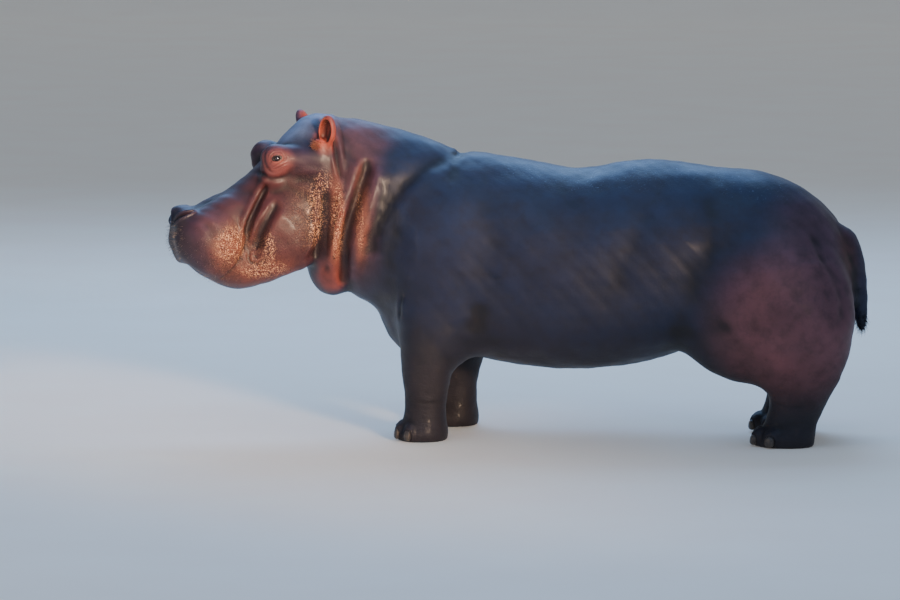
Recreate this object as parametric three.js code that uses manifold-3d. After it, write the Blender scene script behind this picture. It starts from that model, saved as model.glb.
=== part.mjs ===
// A standing hippopotamus, life size, its head turned a little to the left.
// Millimetres, +Z up. The animal faces -X, so its left side is -Y.
// Each region of the body is a form: a function of a point that is negative inside the
// hide, zero on it and positive outside. Lofts are drawn over the forms, ring by ring, with
// the neck straight, and then their points go round a bend that turns the head.
import * as THREE from "three";
import { LoftGeometry } from "three/addons/geometries/LoftGeometry.js";
import { mergeVertices } from "three/addons/utils/BufferGeometryUtils.js";
import Module from "manifold-3d";

const wasm = await Module();
wasm.setup();

// ---------- driving dimensions ----------

const partGap = 0.4; // clear space between touching pieces
const weldDistance = 1e-3;
const headRoot = -960; // x where the head meets the neck
const bendStart = -450; // x where the neck begins to bend
const bendEnd = -950;
const headTurn = THREE.MathUtils.degToRad(20);
const shoulderLine = {
  x: -592,
  z: 1010,
  tilt: THREE.MathUtils.degToRad(32), // withers behind, chest in front
  turn: THREE.MathUtils.degToRad(6),
};
const eyeRadius = 24;
const eyePlace = new THREE.Vector3(-1256, 197, 1404);
const footTop = 165; // z where a leg ends and its foot begins
const flowReach = 1.25; // how far past its own size a leg flows into the trunk
const toeAngles = [-66, -23, 23, 66].map(THREE.MathUtils.degToRad);
const toePad = { radii: [52, 44, 50], setBack: 26, high: 46 };
const nailSize = { deep: 17, half: 25, tall: 26, setForward: 17, high: 35, lean: 0.15 };
const farOff = 4000; // longer than the body: the size of the blocks that divide it

// How square the sections are: 2 is an oval, and more is boxier.
const squareness = { trunk: 2.3, neck: 2.1, skull: 2.4, jaw: 2.2, leg: 2.2 };

// The softness of the valleys where regions meet.
const valley = { trunk: 90, neck: 50, head: 40, trunkToNeck: 70, neckToHead: 45, legToTrunk: 90, toes: 16 };

// Faces: rings along each loft, and points round each ring.
const bodyFaces = { around: 30, neck: 12, trunk: 12, rump: 7 };
const headFaces = { around: 32, muzzle: 8, skull: 10, nose: 4 };
const legFaces = { around: 18, rings: 7 };
const footFaces = { around: 20, rings: 5 };
const tailFaces = { around: 12, rings: 10 };
const eggFaces = { mound: [10, 7], ear: [10, 7], cup: [8, 7], eye: [10, 5], nail: [7, 4] };

// The line that the rings are centered on, in x and z.
const neckCore = { front: [headRoot + partGap, 1150], back: [-470, 1000] };
const trunkCore = { front: [-390, 960], back: [1020, 760] };
const muzzleCore = { nose: [-1655, 985], waist: [-1345, 1080] };
const skullCore = { front: [-1306, 1095], back: [headRoot, 1170] };

// Stations along a region. Each gives the place along it, the top and bottom of the
// section, its half width, and the height at which it is widest.
const station = (at, top, bottom, half, widest) => ({ at, top, bottom, half, widest });

const trunkStations = [
  station(-420, 1400, 440, 380, 860), // shoulders
  station(-200, 1414, 395, 440, 800),
  station(60, 1377, 352, 482, 760), // ribs
  station(290, 1343, 338, 500, 735), // belly, under the dip of the back
  station(600, 1386, 372, 482, 750), // loin
  station(850, 1371, 450, 455, 780),
  station(1000, 1352, 540, 435, 720), // hips
];
const neckStations = [
  station(-1010, 1592, 770, 246, 1130), // behind the ears
  station(-950, 1590, 722, 268, 1110),
  station(-870, 1581, 716, 292, 1080),
  station(-800, 1573, 672, 312, 1060),
  station(-650, 1538, 610, 345, 1000),
  station(-500, 1494, 560, 372, 960),
  station(-400, 1456, 560, 386, 930),
  station(-330, 1424, 580, 380, 900),
];
const skullStations = [
  station(-1690, 1128, 900, 150, 1005), // between the nostrils
  station(-1620, 1152, 885, 185, 1000),
  station(-1530, 1196, 885, 180, 1015),
  station(-1430, 1266, 900, 142, 1060), // the waist of the muzzle
  station(-1340, 1338, 920, 142, 1120),
  station(-1250, 1425, 950, 165, 1200), // between the eyes
  station(-1160, 1525, 950, 195, 1230),
  station(-1060, 1597, 930, 226, 1200), // crown
  station(-950, 1592, 900, 262, 1150),
];
const jawStations = [
  station(-1680, 970, 868, 110, 925), // chin
  station(-1600, 985, 806, 150, 900),
  station(-1460, 1010, 744, 172, 880),
  station(-1310, 1050, 758, 182, 890),
  station(-1180, 1100, 812, 196, 940),
  station(-1120, 1100, 862, 190, 970), // angle of the jaw
];

// The tail hangs from the rump: its place, half depth from front to back, and half width.
const tailStations = [
  { x: 1510, z: 1070, deep: 50, half: 60 },
  { x: 1592, z: 985, deep: 98, half: 96 },
  { x: 1642, z: 900, deep: 88, half: 84 },
  { x: 1680, z: 800, deep: 66, half: 62 },
  { x: 1702, z: 710, deep: 48, half: 42 },
  { x: 1716, z: 630, deep: 33, half: 26 },
  { x: 1722, z: 570, deep: 22, half: 14 },
  { x: 1724, z: 530, deep: 10, half: 7 },
];

// Legs. Each station gives the height, the section's front and back in x, and its half width.
const legStation = (at, front, back, half) => ({ at, front, back, half });
const foreleg = {
  name: "fore",
  across: 295,
  top: 590, // where the leg meets the trunk
  steps: { left: -35, right: 40 }, // how far each foot stands from the middle of the stride
  stations: [
    legStation(0, -556, -286, 130),
    legStation(45, -562, -282, 136), // toes
    legStation(120, -525, -292, 114),
    legStation(220, -520, -288, 114), // wrist
    legStation(360, -540, -255, 136),
    legStation(520, -545, -185, 146), // elbow
    legStation(680, -520, -130, 118),
  ],
};
const hindleg = {
  name: "hind",
  across: 275,
  top: 640,
  steps: { left: 25, right: -30 },
  stations: [
    legStation(0, 1200, 1482, 120),
    legStation(45, 1193, 1488, 126), // toes
    legStation(120, 1240, 1500, 106),
    legStation(240, 1262, 1556, 112), // hock
    legStation(360, 1205, 1618, 148),
    legStation(520, 1110, 1655, 178), // knee
    legStation(700, 1090, 1620, 148),
  ],
};

// ---------- forms ----------

// The value of one measure of the stations at a place, on a smooth curve through them.
function follow(stations, measure, place) {
  const last = stations.length - 1;
  const at = THREE.MathUtils.clamp(place, stations[0].at, stations[last].at);
  let i = 0;
  while (i < last - 1 && at > stations[i + 1].at) i++;
  const slope = (k) => {
    const a = stations[Math.max(k - 1, 0)];
    const b = stations[Math.min(k + 1, last)];
    return (b[measure] - a[measure]) / (b.at - a.at);
  };
  const [from, to] = [stations[i], stations[i + 1]];
  const span = to.at - from.at;
  const t = (at - from.at) / span;
  return (
    from[measure] * (1 + 2 * t) * (1 - t) ** 2 +
    to[measure] * (3 - 2 * t) * t ** 2 +
    slope(i) * span * t * (1 - t) ** 2 +
    slope(i + 1) * span * t ** 2 * (t - 1)
  );
}

// How far a point is from an oval round the origin, given its offsets and the oval's radii.
function ovalDistance(offsets, radii, power = 2) {
  const share = offsets.reduce((sum, o, i) => sum + Math.abs(o / radii[i]) ** power, 0) ** (1 / power);
  return share === 0 ? -Math.min(...radii) : Math.hypot(...offsets) * (1 - 1 / share);
}

// A long region with rounded ends: front and back are how far the ends reach past the stations.
function barrel(stations, front, back, power) {
  const [first, last] = [stations[0].at, stations[stations.length - 1].at];
  return (x, y, z) => {
    const widest = follow(stations, "widest", x);
    const rise = z - widest;
    const height = rise > 0 ? follow(stations, "top", x) - widest : widest - follow(stations, "bottom", x);
    const past = x < first ? x - first : Math.max(0, x - last);
    const end = past < 0 ? front : back;
    return ovalDistance([past, y, rise], [end, follow(stations, "half", x), height], power);
  };
}

// A rounded mass, the same on both sides of the body.
const mass = (center, radii) => (x, y, z) =>
  ovalDistance([x - center[0], Math.abs(y) - center[1], z - center[2]], radii);

// A rounded bar from one point to another, the same on both sides.
function bar(from, to, startRadius, endRadius) {
  const line = new THREE.Line3(new THREE.Vector3(...from), new THREE.Vector3(...to));
  return (x, y, z) => {
    const point = new THREE.Vector3(x, Math.abs(y), z);
    const t = line.closestPointToPointParameter(point, true);
    const near = line.at(t, new THREE.Vector3());
    return point.distanceTo(near) - THREE.MathUtils.lerp(startRadius, endRadius, t);
  };
}

// Forms joined with a soft valley between them.
const blend = (softness, ...forms) => (x, y, z) =>
  forms.reduce((near, form) => {
    const next = form(x, y, z);
    const overlap = Math.max(softness - Math.abs(near - next), 0);
    return Math.min(near, next) - overlap ** 2 / softness / 4;
  }, Infinity);

// A fold: the form sinks along a line drawn on its side, in x and z.
function fold(form, { points, depth, width }) {
  const places = points.map(([x, z]) => new THREE.Vector3(x, 0, z));
  const lines = places.slice(1).map((place, i) => new THREE.Line3(places[i], place));
  return (x, y, z) => {
    const point = new THREE.Vector3(x, 0, z);
    const nearest = lines.map((line) => line.closestPointToPoint(point, true, new THREE.Vector3()));
    const away = Math.min(...nearest.map((place) => place.distanceTo(point)));
    return form(x, y, z) + depth * Math.exp(-((away / width) ** 2));
  };
}

const trunkForm = blend(
  valley.trunk,
  barrel(trunkStations, 250, 695, squareness.trunk),
  mass([-420, 0, 660], [290, 320, 300]), // chest
  mass([-300, 265, 830], [300, 192, 430]), // shoulder
  mass([1235, 235, 680], [460, 226, 380]), // haunch
);
const neckForm = blend(
  valley.neck,
  barrel(neckStations, 90, 50, squareness.neck),
  mass([-950, 0, 805], [95, 160, 108]), // dewlap
);
const shoulderFold = {
  points: [[-300, 1440], [-433, 1360], [-569, 1260], [-671, 1142], [-745, 1010], [-760, 900]],
  depth: 24,
  width: 46,
};
const neckFold = { points: [[-785, 1400], [-895, 1124], [-935, 900], [-915, 760]], depth: 32, width: 26 };
const bodyForm = fold(fold(blend(valley.trunkToNeck, trunkForm, neckForm), shoulderFold), neckFold);

const eyeMound = { center: [-1256, 152, 1400], radii: [74, 62, 68] };
const headForm = blend(
  valley.head,
  barrel(skullStations, 62, 60, squareness.skull),
  barrel(jawStations, 60, 60, squareness.jaw),
  mass([-1592, 112, 990], [160, 128, 150]), // upper lip
  mass([-1195, 118, 1035], [195, 132, 212]), // cheek
  bar([-1245, 140, 1390], [-1040, 165, 1400], 60, 72), // brow and temple
  mass(eyeMound.center, eyeMound.radii),
  mass([-1692, 82, 1098], [58, 50, 52]), // mound of the nostril
);
const wholeForm = blend(valley.neckToHead, bodyForm, headForm);

// A leg: upright, its sections running from front to back.
const legForm = (leg, side, step) => (x, y, z) => {
  const front = follow(leg.stations, "front", z) + step;
  const back = follow(leg.stations, "back", z) + step;
  const offsets = [x - (front + back) / 2, y - side * leg.across];
  return ovalDistance(offsets, [(back - front) / 2, follow(leg.stations, "half", z)], squareness.leg);
};

// ---------- lofts over the forms ----------

// Follows a ray from inside the hide until it comes out, or to its reach, and then on by grow.
function hidePoint(form, origin, direction, grow, reach = farOff) {
  const [stride, halvings] = [12, 12];
  const value = (t) => form(...origin.clone().addScaledVector(direction, t).toArray());
  let outside = stride;
  while (outside < reach && value(outside) < 0) outside += stride;
  let inside = outside - stride;
  for (let halving = 0; halving < halvings; halving++) {
    const half = (inside + outside) / 2;
    if (value(half) < 0) inside = half;
    else outside = half;
  }
  return origin.clone().addScaledVector(direction, Math.min(inside, reach) + grow);
}

// One ring round the body: its rays lie across +X, or lean forwards or back as a cone.
const ring = (form, center, lean, around, grow) =>
  Array.from({ length: around }, (_, i) => {
    const turn = (2 * Math.PI * i) / around;
    const across = Math.cos(lean);
    const ray = new THREE.Vector3(Math.sin(lean), across * Math.sin(turn), -across * Math.cos(turn));
    return hidePoint(form, center, ray, grow);
  });

// Rings along the body, closed to a point at the nose or the rump where it has leaning rings.
function bodyLoft(centers, around, { noseRings = 0, rumpRings = 0, grow = 0 }) {
  const last = centers[centers.length - 1];
  const leans = (count) => Array.from({ length: count }, (_, i) => (Math.PI * (i + 1)) / count / 2);
  const nose = leans(noseRings).reverse().map((lean) => ring(wholeForm, centers[0], -lean, around, grow));
  const rump = leans(rumpRings).map((lean) => ring(wholeForm, last, lean, around, grow));
  const middle = centers.map((center) => ring(wholeForm, center, 0, around, grow));
  return new LoftGeometry([...nose, ...middle, ...rump], { capStart: !noseRings, capEnd: !rumpRings });
}

// Evenly spaced ring centers between two places in the middle of the body.
const centersBetween = ([fromX, fromZ], [toX, toZ], count) =>
  Array.from({ length: count }, (_, i) => {
    const t = i / (count - 1);
    return new THREE.Vector3(THREE.MathUtils.lerp(fromX, toX, t), 0, THREE.MathUtils.lerp(fromZ, toZ, t));
  });

// ---------- solids ----------

// Turns the head: every point past the root of the neck goes round the bend.
function bend(geometry) {
  const places = geometry.attributes.position;
  const reach = bendStart - bendEnd;
  const radius = reach / headTurn;
  for (let i = 0; i < places.count; i++) {
    const [x, y] = [places.getX(i), places.getY(i)];
    const turn = THREE.MathUtils.clamp(bendStart - x, 0, reach) / radius;
    const past = Math.max(0, bendEnd - x);
    if (turn === 0) continue;
    places.setX(i, bendStart - radius * Math.sin(turn) - past * Math.cos(turn) - y * Math.sin(turn));
    places.setY(i, -radius * (1 - Math.cos(turn)) - past * Math.sin(turn) + y * Math.cos(turn));
  }
  return geometry;
}

// A closed geometry as a manifold, its doubled vertices merged and its empty faces left out.
function solid(geometry) {
  const bare = new THREE.BufferGeometry();
  bare.setAttribute("position", geometry.attributes.position);
  bare.setIndex(geometry.index);
  const merged = mergeVertices(bare, weldDistance);
  const all = merged.index.array;
  const corners = [];
  for (let i = 0; i < all.length; i += 3) {
    const [a, b, c] = all.slice(i, i + 3);
    if (a !== b && b !== c && c !== a) corners.push(a, b, c);
  }
  const mesh = new wasm.Mesh({
    numProp: 3,
    vertProperties: new Float32Array(merged.attributes.position.array),
    triVerts: new Uint32Array(corners),
  });
  return new wasm.Manifold(mesh);
}

// An egg-shaped geometry: a sphere stretched, turned and placed.
function egg(center, radii, turn, detail) {
  const geometry = new THREE.SphereGeometry(1, ...detail);
  const facing = new THREE.Quaternion().setFromEuler(turn);
  return geometry.applyMatrix4(new THREE.Matrix4().compose(center, facing, radii));
}

// ---------- trunk and neck ----------

// The body from the back of the head to the rump, all in one.
function bodySolid(grow = 0) {
  const neck = centersBetween(neckCore.front, neckCore.back, bodyFaces.neck);
  const trunk = centersBetween(trunkCore.front, trunkCore.back, bodyFaces.trunk);
  return solid(bend(bodyLoft([...neck, ...trunk], bodyFaces.around, { rumpRings: bodyFaces.rump, grow })));
}

// Everything before the shoulder line, which slopes from the withers down to the chest.
function beforeShoulder(back) {
  const block = new THREE.BoxGeometry(farOff, farOff, farOff).translate(back - farOff / 2, 0, 0);
  block.rotateY(shoulderLine.tilt).rotateZ(shoulderLine.turn);
  return solid(block.translate(shoulderLine.x, 0, shoulderLine.z));
}

// ---------- head ----------

function headSolid(grow = 0) {
  const muzzle = centersBetween(muzzleCore.nose, muzzleCore.waist, headFaces.muzzle);
  const skull = centersBetween(skullCore.front, skullCore.back, headFaces.skull);
  const loft = bodyLoft([...muzzle, ...skull], headFaces.around, { noseRings: headFaces.nose, grow });
  let head = solid(bend(loft));
  const { center, radii } = eyeMound;
  for (const side of [-1, 1]) {
    const place = new THREE.Vector3(center[0], side * center[1], center[2]);
    const mound = egg(place, new THREE.Vector3(...radii), new THREE.Euler(), eggFaces.mound);
    head = head.add(solid(bend(mound)));
  }
  return head;
}

// The mouth line on the side of the head, in x and z: along the lip to the corner of the
// mouth, up behind it, and back down over the cheek to the angle of the jaw.
const mouthLine = [
  [-1850, 872],
  [-1720, 866],
  [-1630, 830],
  [-1540, 818],
  [-1470, 862],
  [-1428, 960],
  [-1415, 1060],
  [-1375, 1150],
  [-1250, 1080],
  [-1120, 960],
  [-1085, 700],
].map(([x, z]) => new THREE.Vector2(x, z));

// Everything below the mouth line, drawn in from it by a gap.
function belowMouth(gap) {
  const [floor, wide, curveSegments] = [400, 1200, 2];
  const [start, ...rest] = mouthLine.map((point, i) => {
    const [before, after] = [mouthLine[Math.max(i - 1, 0)], mouthLine[Math.min(i + 1, mouthLine.length - 1)]];
    const along = after.clone().sub(before);
    return new THREE.Vector2(along.y, -along.x).setLength(gap).add(point);
  });
  const outline = new THREE.Shape();
  outline.moveTo(start.x, floor);
  outline.lineTo(start.x, start.y);
  outline.splineThru(rest);
  outline.lineTo(rest[rest.length - 1].x, floor);
  outline.closePath();
  const block = new THREE.ExtrudeGeometry(outline, { depth: wide, bevelEnabled: false, curveSegments });
  return solid(bend(block.rotateX(Math.PI / 2).translate(0, wide / 2, 0)));
}

// An ear stands on the crown and opens forwards and out: a tall cup of even thickness.
// Lean is how far it tips forwards, spread how far it tips out, and facing where it opens.
const ears = {
  left: { side: -1, place: [-1006, 209, 1530], lean: -0.05, spread: 0.28, facing: 0.7 },
  right: { side: 1, place: [-1040, 209, 1530], lean: 0.3, spread: 0.28, facing: 0.7 },
};
const earSize = { deep: 29, half: 45, tall: 92 };
const earCup = { deep: 27, half: 35, tall: 70, forward: 17 };

function earSolid({ side, place, lean, spread, facing }) {
  const turn = new THREE.Euler(-side * spread, -lean, -side * facing, "YXZ");
  const center = new THREE.Vector3(place[0], side * place[1], place[2]);
  const opening = new THREE.Vector3(-1, 0, 0).applyEuler(turn);
  const cupCenter = center.clone().addScaledVector(opening, earCup.forward);
  const cup = egg(cupCenter, new THREE.Vector3(earCup.deep, earCup.half, earCup.tall), turn, eggFaces.cup);
  const ear = egg(center, new THREE.Vector3(earSize.deep, earSize.half, earSize.tall), turn, eggFaces.ear);
  return solid(bend(ear)).subtract(solid(bend(cup)));
}

function eyeSolid(side, grow = 0) {
  const center = new THREE.Vector3(eyePlace.x, side * eyePlace.y, eyePlace.z);
  const radii = new THREE.Vector3().setScalar(eyeRadius + grow);
  return solid(bend(egg(center, radii, new THREE.Euler(Math.PI / 2, 0, 0), eggFaces.eye)));
}

// ---------- tail ----------

function tailSolid() {
  const middle = new THREE.CatmullRomCurve3(tailStations.map((s) => new THREE.Vector3(s.x, 0, s.z)));
  const sizes = new THREE.CatmullRomCurve3(tailStations.map((s) => new THREE.Vector3(s.deep, s.half, 0)));
  const { rings, around } = tailFaces;
  const sections = Array.from({ length: rings + 1 }, (_, i) => {
    const t = i / rings;
    const [center, size, along] = [middle.getPoint(t), sizes.getPoint(t), middle.getTangent(t)];
    const outward = new THREE.Vector3(-along.z, 0, along.x);
    return Array.from({ length: around }, (_, k) => {
      const turn = (-2 * Math.PI * k) / around;
      const point = center.clone().addScaledVector(outward, size.x * Math.cos(turn));
      return point.setY(size.y * Math.sin(turn));
    });
  });
  return solid(new LoftGeometry(sections, { capStart: true, capEnd: true }));
}

// ---------- legs, feet and nails ----------

// Level rings up a leg, between two heights.
function legLoft(leg, side, step, form, [low, high], { rings, around }, grow = 0) {
  const own = legForm(leg, side, step);
  const sections = Array.from({ length: rings }, (_, i) => {
    const z = THREE.MathUtils.lerp(low, high, i / (rings - 1));
    const middle = (follow(leg.stations, "front", z) + follow(leg.stations, "back", z)) / 2 + step;
    const center = new THREE.Vector3(middle, side * leg.across, z);
    return Array.from({ length: around }, (_, k) => {
      const turn = (2 * Math.PI * k) / around;
      const ray = new THREE.Vector3(Math.cos(turn), Math.sin(turn), 0);
      const reach = center.distanceTo(hidePoint(own, center, ray, 0)) * flowReach;
      return hidePoint(form, center, ray, grow, reach);
    });
  });
  return solid(bend(new LoftGeometry(sections, { capStart: true, capEnd: true })));
}

// A leg above its foot: its outside flows into the trunk, and its top is set into it.
function legSolid(leg, side, step, grow = 0) {
  const form = blend(valley.legToTrunk, legForm(leg, side, step), trunkForm);
  return legLoft(leg, side, step, form, [footTop + partGap, leg.top + grow], legFaces, grow);
}

// Where each toe ends, and the way it points.
function toesOf(leg, side, step) {
  const [front, back] = [follow(leg.stations, "front", toePad.high), follow(leg.stations, "back", toePad.high)];
  const half = follow(leg.stations, "half", toePad.high);
  return toeAngles.map((turn) => {
    const heading = new THREE.Vector3(-Math.cos(turn), side * Math.sin(turn), 0);
    const size = new THREE.Vector3((back - front) / 2, half, 0);
    const middle = new THREE.Vector3((front + back) / 2 + step, side * leg.across, 0);
    return { turn: -side * turn, heading, tip: middle.add(size.multiply(heading)) };
  });
}

function footSolid(leg, side, step, toes) {
  const pads = toes.map(({ tip, heading }) => {
    const center = tip.clone().addScaledVector(heading, -toePad.setBack);
    return (x, y, z) => ovalDistance([x - center.x, y - center.y, z - toePad.high], toePad.radii);
  });
  const form = blend(valley.toes, legForm(leg, side, step), ...pads);
  return legLoft(leg, side, step, form, [0, footTop], footFaces);
}

// A blunt nail over the front of a toe.
function nailSolid({ tip, heading, turn }, grow = 0) {
  const { deep, half, tall, setForward, high, lean } = nailSize;
  const center = tip.clone().addScaledVector(heading, setForward).setZ(high);
  const radii = new THREE.Vector3(deep, half, tall).addScalar(grow);
  return solid(bend(egg(center, radii, new THREE.Euler(0, lean, turn, "ZYX"), eggFaces.nail)));
}

// ---------- assembly ----------

const hide = new THREE.MeshStandardMaterial({ color: 0x3d3238, roughness: 0.45, metalness: 0 });
const faceHide = new THREE.MeshStandardMaterial({ color: 0x6b4238, roughness: 0.45, metalness: 0 });
const earHide = new THREE.MeshStandardMaterial({ color: 0x8a4a3a, roughness: 0.5, metalness: 0 });
const eyeball = new THREE.MeshStandardMaterial({ color: 0x1c0f0a, roughness: 0.1, metalness: 0 });
const nail = new THREE.MeshStandardMaterial({ color: 0x2a2522, roughness: 0.4, metalness: 0 });

const hippopotamus = new THREE.Group();

function add(name, manifold, material) {
  const { vertProperties, triVerts } = manifold.getMesh();
  const geometry = new THREE.BufferGeometry();
  geometry.setAttribute("position", new THREE.BufferAttribute(new Float32Array(vertProperties), 3));
  geometry.setIndex(new THREE.BufferAttribute(new Uint32Array(triVerts), 1));
  geometry.computeVertexNormals();
  const mesh = new THREE.Mesh(geometry, material.clone());
  mesh.name = name;
  hippopotamus.add(mesh);
}

let head = headSolid();
for (const [name, ear] of Object.entries(ears)) {
  add(`ear_${name}`, earSolid(ear).subtract(headSolid(partGap)), earHide);
  add(`eye_${name}`, eyeSolid(ear.side), eyeball);
  head = head.subtract(eyeSolid(ear.side, partGap));
}
add("head", head.subtract(belowMouth(0)), faceHide);
add("lower_jaw", head.intersect(belowMouth(2 * partGap)), faceHide);

let body = bodySolid();
for (const leg of [foreleg, hindleg]) {
  for (const [name, step] of Object.entries(leg.steps)) {
    const { side } = ears[name];
    const toes = toesOf(leg, side, step);
    let foot = footSolid(leg, side, step, toes);
    toes.forEach((toe, i) => {
      foot = foot.subtract(nailSolid(toe, partGap));
      add(`nail_${leg.name}_${name}_${i + 1}`, nailSolid(toe), nail);
    });
    add(`${leg.name}foot_${name}`, foot, hide);
    add(`${leg.name}leg_${name}`, legSolid(leg, side, step), hide);
    body = body.subtract(legSolid(leg, side, step, partGap));
  }
}
add("neck", body.intersect(beforeShoulder(-partGap)), hide);
add("trunk", body.subtract(beforeShoulder(0)), hide);
add("tail", tailSolid().subtract(bodySolid(partGap)), hide);

// The origin is on the floor, under the middle of the body's box.
const box = new THREE.Box3().setFromObject(hippopotamus);
const middle = box.getCenter(new THREE.Vector3());
hippopotamus.position.set(-middle.x, -middle.y, -box.min.z);

export default hippopotamus;
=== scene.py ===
import math
import bpy
import numpy as np
from mathutils import Matrix, Vector


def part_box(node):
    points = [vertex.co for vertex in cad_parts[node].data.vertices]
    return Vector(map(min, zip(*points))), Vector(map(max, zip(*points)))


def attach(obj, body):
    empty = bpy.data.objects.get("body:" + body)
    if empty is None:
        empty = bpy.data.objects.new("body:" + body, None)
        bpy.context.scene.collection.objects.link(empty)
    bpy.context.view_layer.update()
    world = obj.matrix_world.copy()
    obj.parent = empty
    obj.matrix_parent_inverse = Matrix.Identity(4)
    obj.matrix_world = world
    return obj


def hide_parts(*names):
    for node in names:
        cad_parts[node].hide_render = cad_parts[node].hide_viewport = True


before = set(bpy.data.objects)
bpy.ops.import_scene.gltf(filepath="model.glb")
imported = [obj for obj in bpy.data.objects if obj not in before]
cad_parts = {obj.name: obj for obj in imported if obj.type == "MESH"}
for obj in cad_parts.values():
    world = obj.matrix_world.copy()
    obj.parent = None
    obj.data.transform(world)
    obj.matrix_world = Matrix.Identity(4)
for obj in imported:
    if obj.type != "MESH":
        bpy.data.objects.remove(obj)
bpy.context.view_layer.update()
print("frame loaded:", len(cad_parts), "nodes")

# The animal faces -X and its left side is -Y. It is shaped with the neck straight, as one field
# that is negative inside the hide, and then its head is turned. Lengths are in metres.

def smoothTable(stations, count=240):  # every measure on a smooth curve, ready to look up
    rows = np.array(stations, float)
    at = rows[:, 0]
    slope = np.gradient(rows, at, axis=0)
    slope[1:-1] = ((rows[2:] - rows[:-2]).T / (at[2:] - at[:-2])).T
    place = np.linspace(at[0], at[-1], count)
    i = np.clip(np.searchsorted(at, place, side="right") - 1, 0, len(at) - 2)
    span = (at[i + 1] - at[i])[:, None]
    t = ((place - at[i]) / (at[i + 1] - at[i]))[:, None]
    return (rows[i] * (1 + 2 * t) * (1 - t) ** 2 + rows[i + 1] * (3 - 2 * t) * t ** 2
            + slope[i] * span * t * (1 - t) ** 2 + slope[i + 1] * span * t ** 2 * (t - 1))


def lookUp(table, place):
    at = np.clip(place, table[0, 0], table[-1, 0])
    return [np.interp(at, table[:, 0], table[:, k]) for k in range(1, table.shape[1])]


def ovalDistance(offsets, radii, power=2.0):  # a higher power makes the oval squarer
    share = sum(np.abs(o / r) ** power for o, r in zip(offsets, radii)) ** (1 / power)
    share = np.maximum(share, 1e-6)
    return np.sqrt(sum(o * o for o in offsets)) * (1 - 1 / share)


def barrel(stations, front, back, power):  # a long region with rounded ends
    table = smoothTable(stations)

    def form(p):
        x, y, z = p.T
        top, bottom, half, widest = lookUp(table, x)
        rise = z - widest
        height = np.where(rise > 0, top - widest, widest - bottom)
        past = np.minimum(x - table[0, 0], 0) + np.maximum(x - table[-1, 0], 0)
        return ovalDistance((past, y, rise), (np.where(past < 0, front, back), half, height), power)
    return form


def bothSides(p):  # a point of the left side stands for its twin on the right
    return np.column_stack([p[:, 0], np.abs(p[:, 1]), p[:, 2]])


def ball(center, radii):
    return lambda p: ovalDistance((p - center).T, radii)


def mass(center, radii):  # a rounded mass on both sides of the body
    return lambda p: ovalDistance((bothSides(p) - center).T, radii)


def bar(start, end, startRadius, endRadius):  # a tapered rod on both sides of the head
    start, along = np.array(start), np.array(end) - np.array(start)

    def form(p):
        q = bothSides(p) - start
        t = np.clip(q @ along / (along @ along), 0, 1)
        return np.linalg.norm(q - t[:, None] * along, axis=1) - (startRadius + (endRadius - startRadius) * t)
    return form


def softMin(softness, a, b):  # the lower of two, rounded where they meet
    over = np.maximum(softness - np.abs(a - b), 0)
    return np.minimum(a, b) - over ** 2 / softness / 4


def softMax(softness, a, b):
    return -softMin(softness, -a, -b)


def blend(softness, *forms):
    def form(p):
        near = forms[0](p)
        for other in forms[1:]:
            near = softMin(softness, near, other(p))
        return near
    return form


def bump(d, width):  # 1 at the middle, falling away on both sides
    return np.exp(-(d / width) ** 2)


def smooth(low, high, x):  # from 0 at low to 1 at high
    t = np.clip((x - low) / (high - low), 0, 1)
    return t * t * (3 - 2 * t)


# place along the body, top, bottom, half width, height of the widest line
trunkStations = [
    (-0.420, 1.400, 0.440, 0.380, 0.860),
    (-0.200, 1.414, 0.395, 0.440, 0.800),
    (0.060, 1.377, 0.352, 0.482, 0.760),
    (0.290, 1.343, 0.338, 0.500, 0.735),
    (0.600, 1.386, 0.372, 0.482, 0.750),
    (0.850, 1.371, 0.450, 0.455, 0.780),
    (1.000, 1.352, 0.540, 0.435, 0.720),
]
neckStations = [
    (-1.010, 1.592, 0.770, 0.246, 1.130),
    (-0.950, 1.590, 0.722, 0.268, 1.110),
    (-0.870, 1.581, 0.716, 0.292, 1.080),
    (-0.800, 1.573, 0.672, 0.312, 1.060),
    (-0.650, 1.538, 0.610, 0.345, 1.000),
    (-0.500, 1.494, 0.560, 0.372, 0.960),
    (-0.400, 1.456, 0.560, 0.386, 0.930),
    (-0.330, 1.424, 0.580, 0.380, 0.900),
]
skullStations = [
    (-1.690, 1.128, 0.900, 0.150, 1.005),
    (-1.620, 1.152, 0.885, 0.185, 1.000),
    (-1.530, 1.196, 0.885, 0.180, 1.015),
    (-1.430, 1.266, 0.900, 0.142, 1.060),
    (-1.340, 1.338, 0.920, 0.142, 1.120),
    (-1.250, 1.425, 0.950, 0.165, 1.200),
    (-1.160, 1.525, 0.950, 0.195, 1.230),
    (-1.060, 1.597, 0.930, 0.226, 1.200),
    (-0.950, 1.592, 0.900, 0.262, 1.150),
]
jawStations = [
    (-1.680, 0.970, 0.868, 0.110, 0.925),
    (-1.600, 0.985, 0.806, 0.150, 0.900),
    (-1.460, 1.010, 0.744, 0.172, 0.880),
    (-1.310, 1.050, 0.758, 0.182, 0.890),
    (-1.180, 1.100, 0.812, 0.196, 0.940),
    (-1.120, 1.100, 0.862, 0.190, 0.970),
]

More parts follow.
